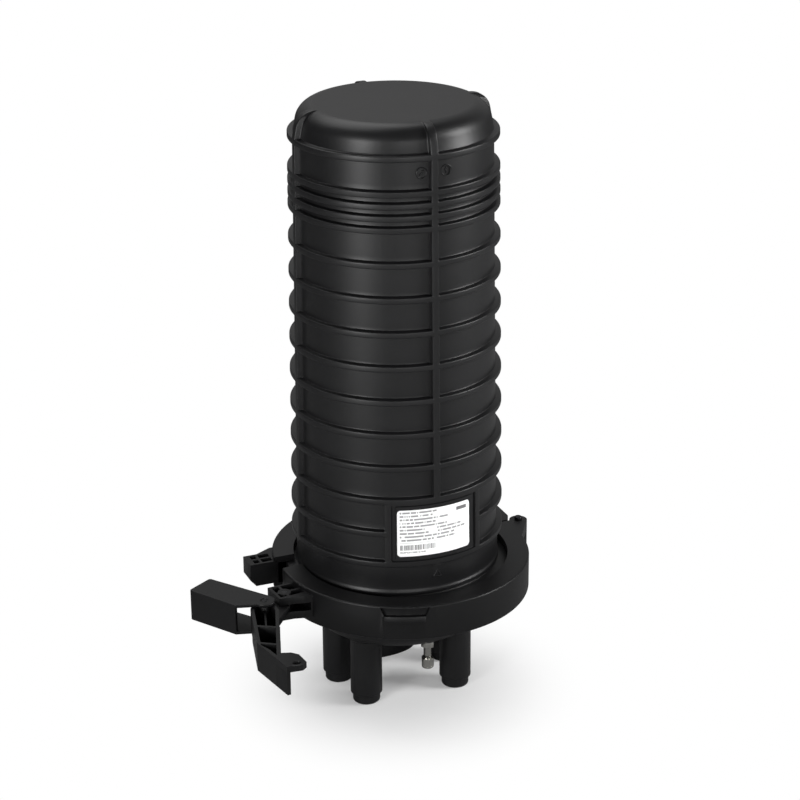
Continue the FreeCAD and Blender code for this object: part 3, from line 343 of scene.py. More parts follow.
def paint(names, material):
    """Gives carried-over nodes their finish."""
    for name in names:
        held = frame["nodes"][name].data
        held.materials.clear()
        held.materials.append(material)


def turned_metal(name, tone, spread, roughness):
    """Metal with fine rings left by the lathe, read from the height, and slight stains."""
    material, tree, out = new_material(name)
    place = add(tree, "ShaderNodeTexCoord")
    spot = place.outputs["Object"]
    stretch = add(tree, "ShaderNodeMapping", Vector=spot, Scale=(1, 1, 1 / lathe_line))
    lines = add(tree, "ShaderNodeTexNoise", Vector=stretch, Scale=1.0, Detail=2.0)
    stain = add(tree, "ShaderNodeTexNoise", Vector=spot, Scale=300.0, Detail=3.0)
    tint = add(
        tree, "ShaderNodeMix", {"data_type": "RGBA"},
        _0=stain.outputs["Fac"], _6=srgb(tone), _7=srgb(spread),
    )
    rough = add(
        tree, "ShaderNodeMapRange",
        Value=lines.outputs["Fac"], To_Min=roughness - 0.06, To_Max=roughness + 0.08,
    )
    bump = add(tree, "ShaderNodeBump", Strength=0.15, Distance=0.00005, Height=lines.outputs["Fac"])
    skin = add(
        tree, "ShaderNodeBsdfPrincipled",
        Base_Color=tint.outputs[2], Metallic=1.0, Roughness=rough, Normal=bump,
    )
    tree.links.new(skin.outputs[0], out.inputs[0])
    return material


nickel = turned_metal("nickel_plated_brass", "#c9c8c2", "#dcdbd6", 0.2)
softened("valve_stem", "valve_body", 0.0002, nickel)
softened("valve_hex_nut", "valve_nut", 0.0004, nickel)
softened("valve_knurled_cap", "valve_cap", 0.0002, nickel, angle=40.0)
paint(["valve_core", "member_posts"], nickel)

# Seal ring. A black silicone cord ring of about 4 mm lies in a groove of the base and is
# squeezed by the dome when the ring clamp closes. The valve's washer is the same rubber.


def silicone():
    """Moulded silicone rubber: deep black, dull, with a faint bloom in patches of about 17 mm."""
    material, tree, out = new_material("silicone_rubber")
    place = add(tree, "ShaderNodeTexCoord")
    bloom = add(tree, "ShaderNodeTexNoise", Vector=place.outputs["Object"], Scale=60.0, Detail=5.0)
    tint = add(
        tree, "ShaderNodeMix", {"data_type": "RGBA"},
        _0=bloom.outputs["Fac"], _6=srgb("#161616"), _7=srgb("#2a2a2a"),
    )
    skin = add(tree, "ShaderNodeBsdfPrincipled", Base_Color=tint.outputs[2], Roughness=0.7, IOR=1.43)
    tree.links.new(skin.outputs[0], out.inputs[0])
    return material


paint(["seal_ring", "valve_washer"], silicone())

# Bracket. Zinc-plated sheet, cut flat, folded and screwed down on the base. It carries
# everything inside. Its screws are bare turned steel, and so are the trays' hinge pins.


def zinc_sheet():
    """Zinc plate on rolled sheet: pale grey, with faint spangle of about 6 mm and rolling lines
    0.4 mm apart and 25 mm long."""
    material, tree, out = new_material("zinc_plated_sheet")
    place = add(tree, "ShaderNodeTexCoord")
    spot = place.outputs["Object"]
    spangle = add(tree, "ShaderNodeTexVoronoi", Vector=spot, Scale=160.0)
    stretch = add(tree, "ShaderNodeMapping", Vector=spot, Scale=(2500, 2500, 40))
    rolled = add(tree, "ShaderNodeTexNoise", Vector=stretch, Scale=1.0, Detail=2.0)
    tint = add(
        tree, "ShaderNodeMix", {"data_type": "RGBA"},
        _0=spangle.outputs["Distance"], _6=srgb("#a9abad"), _7=srgb("#c6c8c9"),
    )
    rough = add(tree, "ShaderNodeMapRange", Value=rolled.outputs["Fac"], To_Min=0.28, To_Max=0.46)
    skin = add(
        tree, "ShaderNodeBsdfPrincipled", Base_Color=tint.outputs[2], Metallic=1.0, Roughness=rough,
    )
    tree.links.new(skin.outputs[0], out.inputs[0])
    return material


paint(["bracket_frame"], zinc_sheet())
bare_steel = turned_metal("turned_steel", "#b9b9ba", "#cfcfd0", 0.3)
paint(["bracket_screws", "tray_hinge_pins"], bare_steel)

# Splice trays, their carrier, the basket and the cable clamps. Pale ABS mouldings with a fine
# matt grain, which hold the splices and the spare fibre.


def pale_abs():
    """Moulded ABS: warm white, slightly uneven, with a matt grain of about half a millimetre."""
    material, tree, out = new_material("pale_abs")
    place = add(tree, "ShaderNodeTexCoord")
    spot = place.outputs["Object"]
    flow = add(tree, "ShaderNodeTexNoise", Vector=spot, Scale=30.0, Detail=4.0)
    grain = add(tree, "ShaderNodeTexNoise", Vector=spot, Scale=2000.0, Detail=2.0)
    tint = add(
        tree, "ShaderNodeMix", {"data_type": "RGBA"},
        _0=flow.outputs["Fac"], _6=srgb("#d8d6cf"), _7=srgb("#e2e0da"),
    )
    bump = add(tree, "ShaderNodeBump", Strength=0.1, Distance=0.0001, Height=grain.outputs["Fac"])
    skin = add(
        tree, "ShaderNodeBsdfPrincipled",
        Base_Color=tint.outputs[2], Roughness=0.45, Normal=bump, IOR=1.53,
    )
    tree.links.new(skin.outputs[0], out.inputs[0])
    return material


trays = [name for name in frame["nodes"] if name.startswith("splice_tray")]
paint(trays + ["tray_carrier", "fibre_basket", "cable_clamps"], pale_abs())

# Tray cover. A clear moulded polycarbonate lid on the front tray. The splices can be seen
# through it.


def clear_lid():
    """Polycarbonate sheet: clear, faintly grey, with mould waves of about 3 cm in its gloss."""
    material, tree, out = new_material("clear_polycarbonate")
    place = add(tree, "ShaderNodeTexCoord")
    wave = add(tree, "ShaderNodeTexNoise", Vector=place.outputs["Object"], Scale=35.0, Detail=2.0)
    rough = add(tree, "ShaderNodeMapRange", Value=wave.outputs["Fac"], To_Min=0.06, To_Max=0.14)
    skin = add(
        tree, "ShaderNodeBsdfPrincipled",
        Base_Color=srgb("#dfe3e6"), Roughness=rough, IOR=1.58, Transmission_Weight=0.9,
    )
    tree.links.new(skin.outputs[0], out.inputs[0])
    return material


paint(["tray_cover"], clear_lid())

# Strap. A woven black nylon hook-and-loop band, wrapped round the trays and the bracket. It
# holds the trays against the bracket.


def strap_weave():
    """Woven nylon: black yarns a millimetre apart, with a fuzzy sheen.

    A wave texture goes through 20 radians to its unit, so a scale of 315 is 1 mm to a yarn."""
    material, tree, out = new_material("nylon_strap_weave")
    place = add(tree, "ShaderNodeTexCoord")
    weft, warp = (
        add(
            tree, "ShaderNodeTexWave", {"bands_direction": way},
            Vector=place.outputs["Object"], Scale=315.0, Distortion=1.0,
        )
        for way in ("Z", "X")
    )
    cross = add(
        tree, "ShaderNodeMath", {"operation": "MULTIPLY"},
        _0=weft.outputs["Fac"], _1=warp.outputs["Fac"],
    )
    tint = add(
        tree, "ShaderNodeMix", {"data_type": "RGBA"}, _0=cross, _6=srgb("#141414"), _7=srgb("#2e2e2e"),
    )
    bump = add(tree, "ShaderNodeBump", Strength=0.5, Distance=0.0002, Height=cross)
    skin = add(
        tree, "ShaderNodeBsdfPrincipled",
        Base_Color=tint.outputs[2], Roughness=0.8, Normal=bump, Sheen_Weight=0.3,
    )
    tree.links.new(skin.outputs[0], out.inputs[0])
    return material


paint(["tray_strap"], strap_weave())

# Dome cover. One tall cup moulded in black polypropylene with hoops and four upright ribs, so
# that the thin wall keeps its shape when the closure is pressurised. It pulls off upwards.
crown = 0.5318
ring_low = 0.092
draft = 0.0121
first_ring = 0.1817
pitch = 0.02955
top_ring = 0.50675
even_rings = 10
close_pitch = 0.010
close_rings = 3
face_half = 0.0026
stand_out = 0.005
wall = 0.003
bend = 0.016
lean = math.radians(10.8)
rib_half = 0.00315
edge_round = 0.0009
land = 0.0015
land_rise = 0.0003
land_edge = 0.00012
skirt_ring = first_ring - 0.0279
skirt_radius = 0.0888
skirt_bore = 0.0858
ledge_radius = 0.0893
ledge = 0.1258
flange_radius = 0.0985
flange_top = 0.122
joint = 0.113
panel_reach = 0.04575
panel_half = panel_reach / ring_low
panel_border = 0.006
panel_end_border = 0.0029
panel_groove = 0.0013
panel_side_groove = 0.0034
groove_depth = 0.0016
groove_edge = 0.0003
pad_drop = 0.0006
skirt_dip = 0.0006
flange_round = 0.0006
least_reach = 0.058
inner_rise = 0.004
inner_low = 0.2
inner_steps = 8
inner_bend = 0.014
inner_lean = 0.003
inner_turn = np.linspace(0.1, np.pi / 2, 10)
front = 1.5 * np.pi
wall_steps = 60
quarter_steps = 30
arc_gap = 0.001
arc = np.linspace(lean, np.pi / 2, 26)
flat_share = np.concatenate([[0.995, 0.985, 0.96], np.linspace(0.9, 0.0, 14)])
land_steps = np.array([-0.51, 0.51]) * land_edge
groove_steps = np.array([-0.16, 0.16]) * 0.001
panel_steps = (-0.002, 0.002)

rings = [skirt_ring] + [first_ring + pitch * i for i in range(even_rings)]
rings += [rings[-1] + close_pitch * (i + 1) for i in range(close_rings)]
rings += [top_ring]


def ring_radius(height):
    """Radius of the hoops' faces, which falls with height by the draft."""
    return ring_low - draft * (height - first_ring)


def bead(distance, half, rise, rounding):
    """Height of a raised band: a round corner of a circle above, a round foot below its side."""
    d = np.abs(distance) - half
    corner = np.clip(d + rounding, 0, rounding)
    toe = np.clip(rounding - d, 0, rounding)
    above = rise - rounding + np.sqrt(np.clip(rounding ** 2 - corner ** 2, 0, None))
    foot = rounding - np.sqrt(np.clip(rounding ** 2 - toe ** 2, 0, None))
    return np.where(d <= 0, above, np.clip(foot, 0, rise))


def low_land(beyond):
    """Height of the thin flat land beside a band: full up to its width, then a sharp step down."""
    return land_rise * np.clip((land - beyond) / land_edge + 0.5, 0, 1)


def edge_steps(rounding):
    """Offsets across one edge of a band, close together where the corner and the foot are round."""
    share = np.array([0.02, 0.3, 0.65, 1.0])
    return np.concatenate([-share[::-1], share]) * rounding


def across(centre, half, rounding):
    """Places on both edges of a band."""
    steps = edge_steps(rounding)
    return np.concatenate([centre - half - steps, centre + half + steps])


def inside_box(a, b, half_a, centre_b, half_b, rounding):
    """One inside a rectangle, nought outside, with a straight step over a short distance."""
    near = np.minimum(half_a - np.abs(a), half_b - np.abs(b - centre_b))
    return np.clip(near / rounding + 0.5, 0, 1)


panel_middle = (skirt_ring + rings[2]) / 2
panel_high = (rings[2] - skirt_ring) / 2
pad_inset = panel_border + panel_side_groove
pad_end_inset = panel_end_border + panel_groove
lean_start = top_ring + face_half
centre_height = crown - bend
lean_end = centre_height + bend * math.sin(lean)
heights = np.concatenate(
    [across(h, face_half, edge_round) for h in rings]
    + [h - face_half - land + land_steps for h in rings[1:]]
    + [np.linspace(skirt_ring, lean_start, wall_steps)]
    + [
        panel_middle + side * (panel_high - inset) + groove_steps
        for side in (-1, 1) for inset in (panel_end_border, pad_end_inset)
    ]
)
heights = np.unique(np.round(heights[heights > skirt_ring - face_half - edge_round], 6))
heights = heights[heights <= lean_end - arc_gap]


def dome_profile():
    """Wall of the dome as radius and height: the drafted tube, the leaning part over the top hoop,
    a round shoulder and the flat top."""
    low = heights[heights <= lean_start]
    over = heights[heights > lean_start]
    foot = ring_radius(lean_start) - stand_out
    centre = foot - (lean_end - lean_start) * math.tan(lean) - bend * math.cos(lean)
    wall_r = np.concatenate([
        ring_radius(low) - stand_out, foot - (over - lean_start) * math.tan(lean),
        centre + bend * np.cos(arc), centre * flat_share,
    ])
    top_z = np.full(flat_share.size, crown)
    wall_z = np.concatenate([heights, centre_height + bend * np.sin(arc), top_z])
    return wall_r, wall_z


def dome_columns(reach):
    """Azimuths of the columns for each row: lateral offsets by the ribs, even steps between."""
    foot = rib_half + land + land_steps
    near = np.sort(np.concatenate([across(0, rib_half, edge_round), foot, -foot]))
    edge = near[-1] / reach
    insets = (0, panel_border, pad_inset)
    panel = [panel_half - inset / ring_low + step for inset in insets for step in panel_steps]
    panel += [panel_half - edge_round / ring_low, panel_half + edge_round / ring_low]
    panel = np.array(panel)
    low_edge = near[-1] / ring_low
    low_span = np.pi / 2 - 2 * low_edge
    left = (np.pi / 2 - panel - low_edge) / low_span
    right = (panel - low_edge) / low_span
    even = np.linspace(0, 1, quarter_steps)[1:-1]
    share = np.unique(np.round(np.concatenate([even, left, right]), 5))
    span = np.pi / 2 - 2 * edge[:, None]
    parts = []
    for quarter in np.arange(4) * np.pi / 2:
        parts.append(quarter + near[None, :] / reach[:, None])
        parts.append(quarter + edge[:, None] + share[None, :] * span)
    return np.concatenate(parts, 1)


def dome_surface():
    """Outside of the dome: each point is its wall point moved out by the highest feature there.

    Hoops depend on the height, ribs on the distance from their middle plane, and the label
    panel on both. A thin land runs under each hoop and beside each rib. A rib keeps its full
    height over the shoulder and ends on the flat top. The label's groove is then taken off, and
    its pad put back.

    A distance beside a rib becomes an angle by the reach of its row, which is the lowest hoop's
    radius all the way up the wall."""
    wall_r, wall_z = dome_profile()
    reach = np.where(wall_z < lean_start, ring_low, np.maximum(wall_r, least_reach))
    azimuth = dome_columns(reach)
    radius = np.broadcast_to(wall_r[:, None], azimuth.shape)
    height = np.broadcast_to(wall_z[:, None], azimuth.shape)
    on_side = np.arange(wall_r.size) < heights.size + arc.size
    hoop = np.max([bead(wall_z - h, face_half, stand_out, edge_round) for h in rings], axis=0)
    hoop = np.where(wall_z < centre_height, hoop, 0)
    quarter = (azimuth + np.pi / 4) % (np.pi / 2) - np.pi / 4
    rib = bead(quarter * reach[:, None], rib_half, stand_out, edge_round) * on_side[:, None]
    from_front = (azimuth - front + np.pi) % (2 * np.pi) - np.pi
    aside = from_front * ring_low
    within = np.abs(height - panel_middle) < panel_high
    panel = np.where(within, bead(aside, panel_reach, stand_out, edge_round), 0)
    below = np.max([np.where(wall_z < h, low_land(h - face_half - wall_z), 0) for h in rings], axis=0)
    beside = low_land(np.abs(quarter) * reach[:, None] - rib_half) * (height < top_ring)
    level = np.broadcast_to(np.maximum(hoop, below)[:, None], rib.shape)
    raised = np.max([level, panel, rib, beside], axis=0)
    groove, pad = (
        inside_box(
            aside, height, panel_reach - inset, panel_middle, panel_high - end_inset, groove_edge,
        )
        for inset, end_inset in ((panel_border, panel_end_border), (pad_inset, pad_end_inset))
    )
    out = radius + raised - groove * groove_depth + pad * (groove_depth - pad_drop)
    return np.stack([out * np.cos(azimuth), out * np.sin(azimuth), height], -1)


def skirt_profile():
    """Radius and height down the skirt, out over its lip, round the flange and up the bore.

    The skirt draws in a little towards the lip, so that the lip's round edge stands clear."""
    outside = [
        (skirt_radius, skirt_ring - face_half - 1.2 * edge_round),
        (skirt_radius, ledge + 0.0217),
        (skirt_radius - 0.0001, ledge + 0.0172),
        (skirt_radius - 0.0004, ledge + 0.0122),
        (skirt_radius - skirt_dip, ledge + 0.0082),
        (skirt_radius - skirt_dip, ledge + 0.0036),
        (skirt_radius - 0.0005, ledge + 0.0028),
        (ledge_radius - 0.0007, ledge + 0.0019),
        (ledge_radius - 0.00033, ledge + 0.0012),
        (ledge_radius - 0.0001, ledge + 0.0006),
        (ledge_radius, ledge - 0.0002),
        (ledge_radius, ledge - 0.0016),
        (ledge_radius - 0.0005, flange_top + 0.0012),
        (ledge_radius - 0.0001, flange_top + 0.0003),
        (ledge_radius + 0.0008, flange_top),
        (flange_radius - flange_round, flange_top),
        (flange_radius - 0.3 * flange_round, flange_top - 0.3 * flange_round),
        (flange_radius, flange_top - flange_round),
        (flange_radius, joint + flange_round),
        (flange_radius - flange_round, joint),
        (skirt_bore, joint),
        (skirt_bore, skirt_ring - 0.001),
    ]
    return np.array(outside)


corner_angle = math.radians(38)


def welded(piece, distance=0.00001):
    """Merges points that lie together, turns every face outwards and marks the sharp edges."""
    made = bmesh.new()
    made.from_mesh(piece.data)
    bmesh.ops.remove_doubles(made, verts=made.verts, dist=distance)
    bmesh.ops.recalc_face_normals(made, faces=made.faces)
    for edge in made.edges:
        edge.smooth = edge.calc_face_angle(0) < corner_angle
    made.to_mesh(piece.data)
    made.free()
    return piece


def dome_cover():
    """Outside grid from the lowest hoop to the crown, joined to a skirt and an inner wall."""
    outside = dome_surface()
    azimuth = np.arctan2(outside[0, :, 1], outside[0, :, 0])
    low = skirt_profile()
    inner_z = np.linspace(inner_low, lean_start, inner_steps)
    inner_z = np.concatenate([[skirt_ring + inner_rise], inner_z])
    inner_top = ring_radius(lean_start) - stand_out - wall - inner_lean
    shoulder_r = inner_top - inner_bend * (1 - np.cos(inner_turn))
    shoulder_z = crown - wall - inner_bend * (1 - np.sin(inner_turn))
    inner = np.concatenate([
        np.stack([ring_radius(inner_z) - stand_out - wall, inner_z], -1),
        np.stack([shoulder_r, shoulder_z], -1),
        [[0.0, crown - wall]],
    ])
    rest = np.concatenate([low, inner])
    rest_z = np.broadcast_to(rest[:, 1:], (len(rest), azimuth.size))
    below = np.stack([rest[:, :1] * np.cos(azimuth), rest[:, :1] * np.sin(azimuth), rest_z], -1)
    grid = np.concatenate([outside[::-1], below])
    return welded(mesh_piece("dome_cover_moulding", grid, grid_faces(*grid.shape[:2], around=True)))


dome = dome_cover()
dome.data.materials.append(black)
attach(dome, "closure")
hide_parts("dome_cover")

# Marks on the dome, moulded with it: two round date dials under the top hoop, each with an arrow,
# and a plain triangle on the skirt. They stand less than a millimetre proud.
cord_sides = 8
dial_height = 0.49375
dial_places = ((-0.0096, 50), (0.0119, 90))
dial_radius = 0.0044
dial_rim = 0.0005
dial_proud = 0.00025
dial_steps = 48
arrow_line = 0.0004
arrow = np.array([
    (-0.0024, 0.0002), (0.0004, 0.0002), (0.0008, 0.0012), (0.0028, 0.0),
    (0.0008, -0.0012), (0.0004, -0.0002), (-0.0024, -0.0002),
])
mark_azimuth = math.radians(270.8)
mark_height = 0.1416
mark_corners = np.array([(0.0, 0.0033), (-0.0036, -0.0030), (0.0036, -0.0030)])
mark_sink = 0.0001
mark_line = 0.0004
side_steps = 12


def joined(*parts):
    """One mesh from several grids of points and faces, laid one after the other."""
    points = []
    faces = []
    start = 0
    for p, f in parts:
        points.append(p.reshape(-1, 3))
        faces.append(f + start)
        start += p.shape[0] * p.shape[1]
    return np.concatenate(points), np.concatenate(faces)


def loop_tube(points, outward, radius):
    """A closed cord: a circle of the radius at each point, across the way to the next point."""
    ahead = np.roll(points, -1, 0) - np.roll(points, 1, 0)
    ahead /= np.linalg.norm(ahead, axis=1, keepdims=True)
    side = np.cross(ahead, outward)
    side /= np.linalg.norm(side, axis=1, keepdims=True)
    up = np.cross(side, ahead)
    turn = np.linspace(0, 2 * np.pi, cord_sides, endpoint=False)
    ring = np.cos(turn)[None, :, None] * side[:, None] + np.sin(turn)[None, :, None] * up[:, None]
    return points[:, None] + radius * ring


def dial(aside, tilt):
    """A raised ring and an arrow, turned by the tilt, on a flat spot that faces the front."""
    face = -math.sqrt((ring_radius(dial_height) - stand_out) ** 2 - aside ** 2) - dial_proud
    turn = np.linspace(0, 2 * np.pi, dial_steps, endpoint=False)
    circle = dial_radius * np.stack([np.cos(turn), np.sin(turn)], -1)
    c, s = math.cos(math.radians(tilt)), math.sin(math.radians(tilt))
    grids = []
    for flat, line in ((circle, dial_rim), (arrow @ np.array([(c, s), (-s, c)]), arrow_line)):
        path = np.stack([aside + flat[:, 0], np.full(len(flat), face), dial_height + flat[:, 1]], -1)
        cord = loop_tube(path, np.tile([0.0, -1.0, 0.0], (len(flat), 1)), line)
        grids.append((cord, grid_faces(len(flat), cord_sides, True, True)))
    return mesh_piece("date_dial", *joined(*grids))


def skirt_triangle():
    """A thin raised triangle that follows the round of the skirt."""
    share = np.linspace(0, 1, side_steps, endpoint=False)[:, None]
    ends = np.roll(mark_corners, -1, 0)
    flat = np.concatenate([a + (b - a) * share for a, b in zip(mark_corners, ends)])
    azimuth = mark_azimuth + flat[:, 0] / skirt_radius
    way = np.stack([np.cos(azimuth), np.sin(azimuth), np.zeros(len(flat))], -1)
    path = way * (skirt_radius - mark_sink)
    path[:, 2] = mark_height + flat[:, 1]
    ring = loop_tube(path, way, mark_line)
    return mesh_piece("skirt_triangle", ring, grid_faces(len(flat), cord_sides, True, True))


for mark in [dial(aside, tilt) for aside, tilt in dial_places] + [skirt_triangle()]:
    mark.data.materials.append(black)
    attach(mark, "closure")

# Label. A white polyester film, printed in grey and stuck on the pad at the front of the dome.
# The printing here is plain bars where the real label has its wording. Places on it are in
# millimetres, across from its left edge and down from its top.
label_top = 203.9
label_bottom = 161.6
label_left = math.radians(248.2)
label_right = math.radians(289.9)
label_corner = 0.003
label_steps = 41
label_columns = 61
film = 0.0003
film_lift = 0.0003
front_across = 35.0
text_top = 0.9
text_left = 2.2
row_pitch = 3.14
row_bar = (0.7, 2.35)
row_ends = (34.9, 30.9, 44.6, 33.3, 43.7, 23.8, 27.0, 50.9, 51.9)
second_columns = [(5, 34.6, 57.5), (6, 35.1, 61.7)]
letter = 0.9
row_cells = 91.0
gap_share = 0.16
gap_ink = 0.06
word_ink = 0.62
stripe_pitch = 1.15
stripe_least = 0.32
stripe_more = 0.5
barcode = (2.5, 33.5, 31.9, 36.6)
foot_line = (2.5, 24.4, 38.0, 39.3)
rule = (2.1, 63.6, 29.9, 30.3)
plain_block = (53.0, 63.4, 3.2, 6.4)


def label_sheet():
    """Part of a cylinder with round corners, laid just clear of the pad. Each row is as wide as
    the corner's circle leaves it."""
    middle_z = (label_top + label_bottom) / 2000
    half_z = (label_top - label_bottom) / 2000
    up = -half_z * np.cos(np.linspace(0, np.pi, label_steps))
    past = np.clip(np.abs(up) - (half_z - label_corner), 0, label_corner)
    loss = label_corner - np.sqrt(label_corner ** 2 - past ** 2)
    share = np.linspace(-1, 1, label_columns)
    half_width = (label_right - label_left) / 2 - loss / ring_low
    azimuth = (label_left + label_right) / 2 + half_width[:, None] * share
    height = np.broadcast_to((middle_z + up)[:, None], azimuth.shape)
    radius = ring_radius(height) + film_lift - pad_drop + film
    return np.stack([radius * np.cos(azimuth), radius * np.sin(azimuth), height], -1)


def within(tree, value, low, high):
    """One where a value lies between two limits, and nought outside them."""
    above = add(tree, "ShaderNodeMath", {"operation": "GREATER_THAN"}, _0=value, _1=low)
    below = add(tree, "ShaderNodeMath", {"operation": "LESS_THAN"}, _0=value, _1=high)
    return add(tree, "ShaderNodeMath", {"operation": "MULTIPLY"}, _0=above, _1=below)


def label_print():
    """White film with rows of grey bars, worked out in millimetres from azimuth and height.

    Each row runs from its start to its end, and is broken where a noise of the cell number is
    low, as words are. Two rows have a second column. The barcode is a box whose stripes are as
    wide as a noise of their number says. A foot line, a rule and a plain block are boxes too."""
    material, tree, out = new_material("printed_label_film")
    place = add(tree, "ShaderNodeTexCoord")
    axes = add(tree, "ShaderNodeSeparateXYZ", Vector=place.outputs["Object"])
    ahead = add(tree, "ShaderNodeMath", {"operation": "MULTIPLY"}, _0=axes.outputs["Y"], _1=-1.0)
    turned = add(tree, "ShaderNodeMath", {"operation": "ARCTAN2"}, _0=axes.outputs["X"], _1=ahead)
    from_left = add(
        tree, "ShaderNodeMath", {"operation": "MULTIPLY_ADD"},
        _0=turned, _1=1000 * ring_low, _2=front_across,
    )
    from_top = add(
        tree, "ShaderNodeMath", {"operation": "MULTIPLY_ADD"},
        _0=axes.outputs["Z"], _1=-1000.0, _2=label_top,
    )
    from_text_top = add(tree, "ShaderNodeMath", {"operation": "SUBTRACT"}, _0=from_top, _1=text_top)
    rows = add(tree, "ShaderNodeMath", {"operation": "DIVIDE"}, _0=from_text_top, _1=row_pitch)
    row = add(tree, "ShaderNodeMath", {"operation": "FLOOR"}, _0=rows)
    row_share = add(tree, "ShaderNodeMath", {"operation": "FRACT"}, _0=rows)
    in_row = add(tree, "ShaderNodeMath", {"operation": "MULTIPLY"}, _0=row_share, _1=row_pitch)
    ink = 0.0
    for number, start, end in [(i, text_left, end) for i, end in enumerate(row_ends)] + second_columns:
        here = add(tree, "ShaderNodeMath", {"operation": "COMPARE"}, _0=row, _1=float(number), _2=0.1)
        bar = within(tree, from_left, start, end)
        shown = add(tree, "ShaderNodeMath", {"operation": "MULTIPLY"}, _0=here, _1=bar)
        ink = add(tree, "ShaderNodeMath", {"operation": "ADD"}, _0=ink, _1=shown)
    letters = add(tree, "ShaderNodeMath", {"operation": "DIVIDE"}, _0=from_left, _1=letter)
    column = add(tree, "ShaderNodeMath", {"operation": "FLOOR"}, _0=letters)
    cell = add(
        tree, "ShaderNodeMath", {"operation": "MULTIPLY_ADD"}, _0=row, _1=row_cells, _2=column,
    )
    chance = add(tree, "ShaderNodeTexWhiteNoise", {"noise_dimensions": "1D"}, W=cell)
    full = add(
        tree, "ShaderNodeMath", {"operation": "GREATER_THAN"},
        _0=chance.outputs["Value"], _1=gap_share,
    )
    word = add(
        tree, "ShaderNodeMath", {"operation": "MULTIPLY_ADD"}, _0=full, _1=word_ink, _2=gap_ink,
    )
    ink = add(tree, "ShaderNodeMath", {"operation": "MULTIPLY"}, _0=ink, _1=word)
    in_bar = within(tree, in_row, *row_bar)
    ink = add(tree, "ShaderNodeMath", {"operation": "MULTIPLY"}, _0=ink, _1=in_bar)
    stripes = add(tree, "ShaderNodeMath", {"operation": "DIVIDE"}, _0=from_left, _1=stripe_pitch)
    stripe = add(tree, "ShaderNodeMath", {"operation": "FLOOR"}, _0=stripes)
    stripe_share = add(tree, "ShaderNodeMath", {"operation": "FRACT"}, _0=stripes)
    stripe_chance = add(tree, "ShaderNodeTexWhiteNoise", {"noise_dimensions": "1D"}, W=stripe)
    width = add(
        tree, "ShaderNodeMath", {"operation": "MULTIPLY_ADD"},
        _0=stripe_chance.outputs["Value"], _1=stripe_more, _2=stripe_least,
    )
    dark = add(tree, "ShaderNodeMath", {"operation": "LESS_THAN"}, _0=stripe_share, _1=width)
    code_ink = add(tree, "ShaderNodeMath", {"operation": "MULTIPLY"}, _0=dark, _1=0.85)
    foot_ink = add(tree, "ShaderNodeMath", {"operation": "MULTIPLY"}, _0=word, _1=0.9)
    boxes = ((barcode, code_ink), (foot_line, foot_ink), (rule, 0.45), (plain_block, 0.85))
    for (left, right, top, bottom), shade in boxes:
        wide = within(tree, from_left, left, right)
        high = within(tree, from_top, top, bottom)
        box = add(tree, "ShaderNodeMath", {"operation": "MULTIPLY"}, _0=wide, _1=high)
        inked = add(tree, "ShaderNodeMath", {"operation": "MULTIPLY"}, _0=box, _1=shade)
        ink = add(tree, "ShaderNodeMath", {"operation": "MAXIMUM"}, _0=ink, _1=inked)
    paper = add(tree, "ShaderNodeTexNoise", Vector=place.outputs["Object"], Scale=900.0, Detail=2.0)
    base = add(
        tree, "ShaderNodeMix", {"data_type": "RGBA"},
        _0=paper.outputs["Fac"], _6=srgb("#f3f3f3"), _7=srgb("#fafafa"),
    )
    colour = add(
        tree, "ShaderNodeMix", {"data_type": "RGBA"}, _0=ink, _6=base.outputs[2], _7=srgb("#1c1c1e"),
    )
    skin = add(
        tree, "ShaderNodeBsdfPrincipled", Base_Color=colour.outputs[2], Roughness=0.38, IOR=1.5,
    )
    tree.links.new(skin.outputs[0], out.inputs[0])
    return material


label_points = label_sheet()
label = mesh_piece("printed_label", label_points, grid_faces(*label_points.shape[:2]))
label.data.materials.append(label_print())
backing = label.modifiers.new("film", "SOLIDIFY")
backing.thickness = film
backing.offset = -1.0
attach(label, "closure")
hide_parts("label")

# Clamp ring. Two channel-shaped halves in glass-filled black nylon turn on one steel pin and
# pull the two flanges together. They are set darker and duller than the dome, as painted
# shade on these low parts by the floor.
ring_middle = np.array([0.00133, -0.01161])
ring_outside = 0.1105
recess_way = math.radians(248.5)
recess_half = 0.021
recess_slant = 0.003
recess_low = 0.1193
recess_high = 0.1273
recess_back = 0.1079
recess_deeper = 0.001
recess_near = 0.0004


def points_of(piece):
    """The points of a piece, as an array with a row for each."""
    flat = np.zeros(3 * len(piece.data.vertices), dtype=np.float32)
    piece.data.vertices.foreach_get("co", flat)
    return flat.reshape(-1, 3).astype(float)


def set_points(piece, points):
    """Puts a piece's points at new places."""
    piece.data.vertices.foreach_set("co", points.astype(np.float32).ravel())
    piece.data.update()


def reshape_recess(piece):
    """Sets the tab recess deeper and slants its ends, by the arc length from its middle."""
    points = points_of(piece)
    plan = points[:, :2] - ring_middle
    height = points[:, 2]
    radius = np.hypot(plan[:, 0], plan[:, 1])
    azimuth = np.arctan2(plan[:, 1], plan[:, 0]) % (2 * np.pi) - recess_way
    arc_length = azimuth * ring_outside
    inside = (height > recess_low - recess_near) & (height < recess_high + recess_near)
    inside &= np.abs(arc_length) < recess_half + recess_near
    end = inside & (np.abs(arc_length) > recess_half - recess_near) & (height < recess_low + recess_near)
    end &= radius > recess_back - recess_near
    back = inside & (np.abs(radius - recess_back) < recess_near)
    azimuth = np.where(end, azimuth - np.sign(arc_length) * recess_slant / ring_outside, azimuth)
    radius = np.where(back, radius - recess_deeper, radius)
    points[:, 0] = ring_middle[0] + radius * np.cos(azimuth + recess_way)
    points[:, 1] = ring_middle[1] + radius * np.sin(azimuth + recess_way)
    set_points(piece, points)
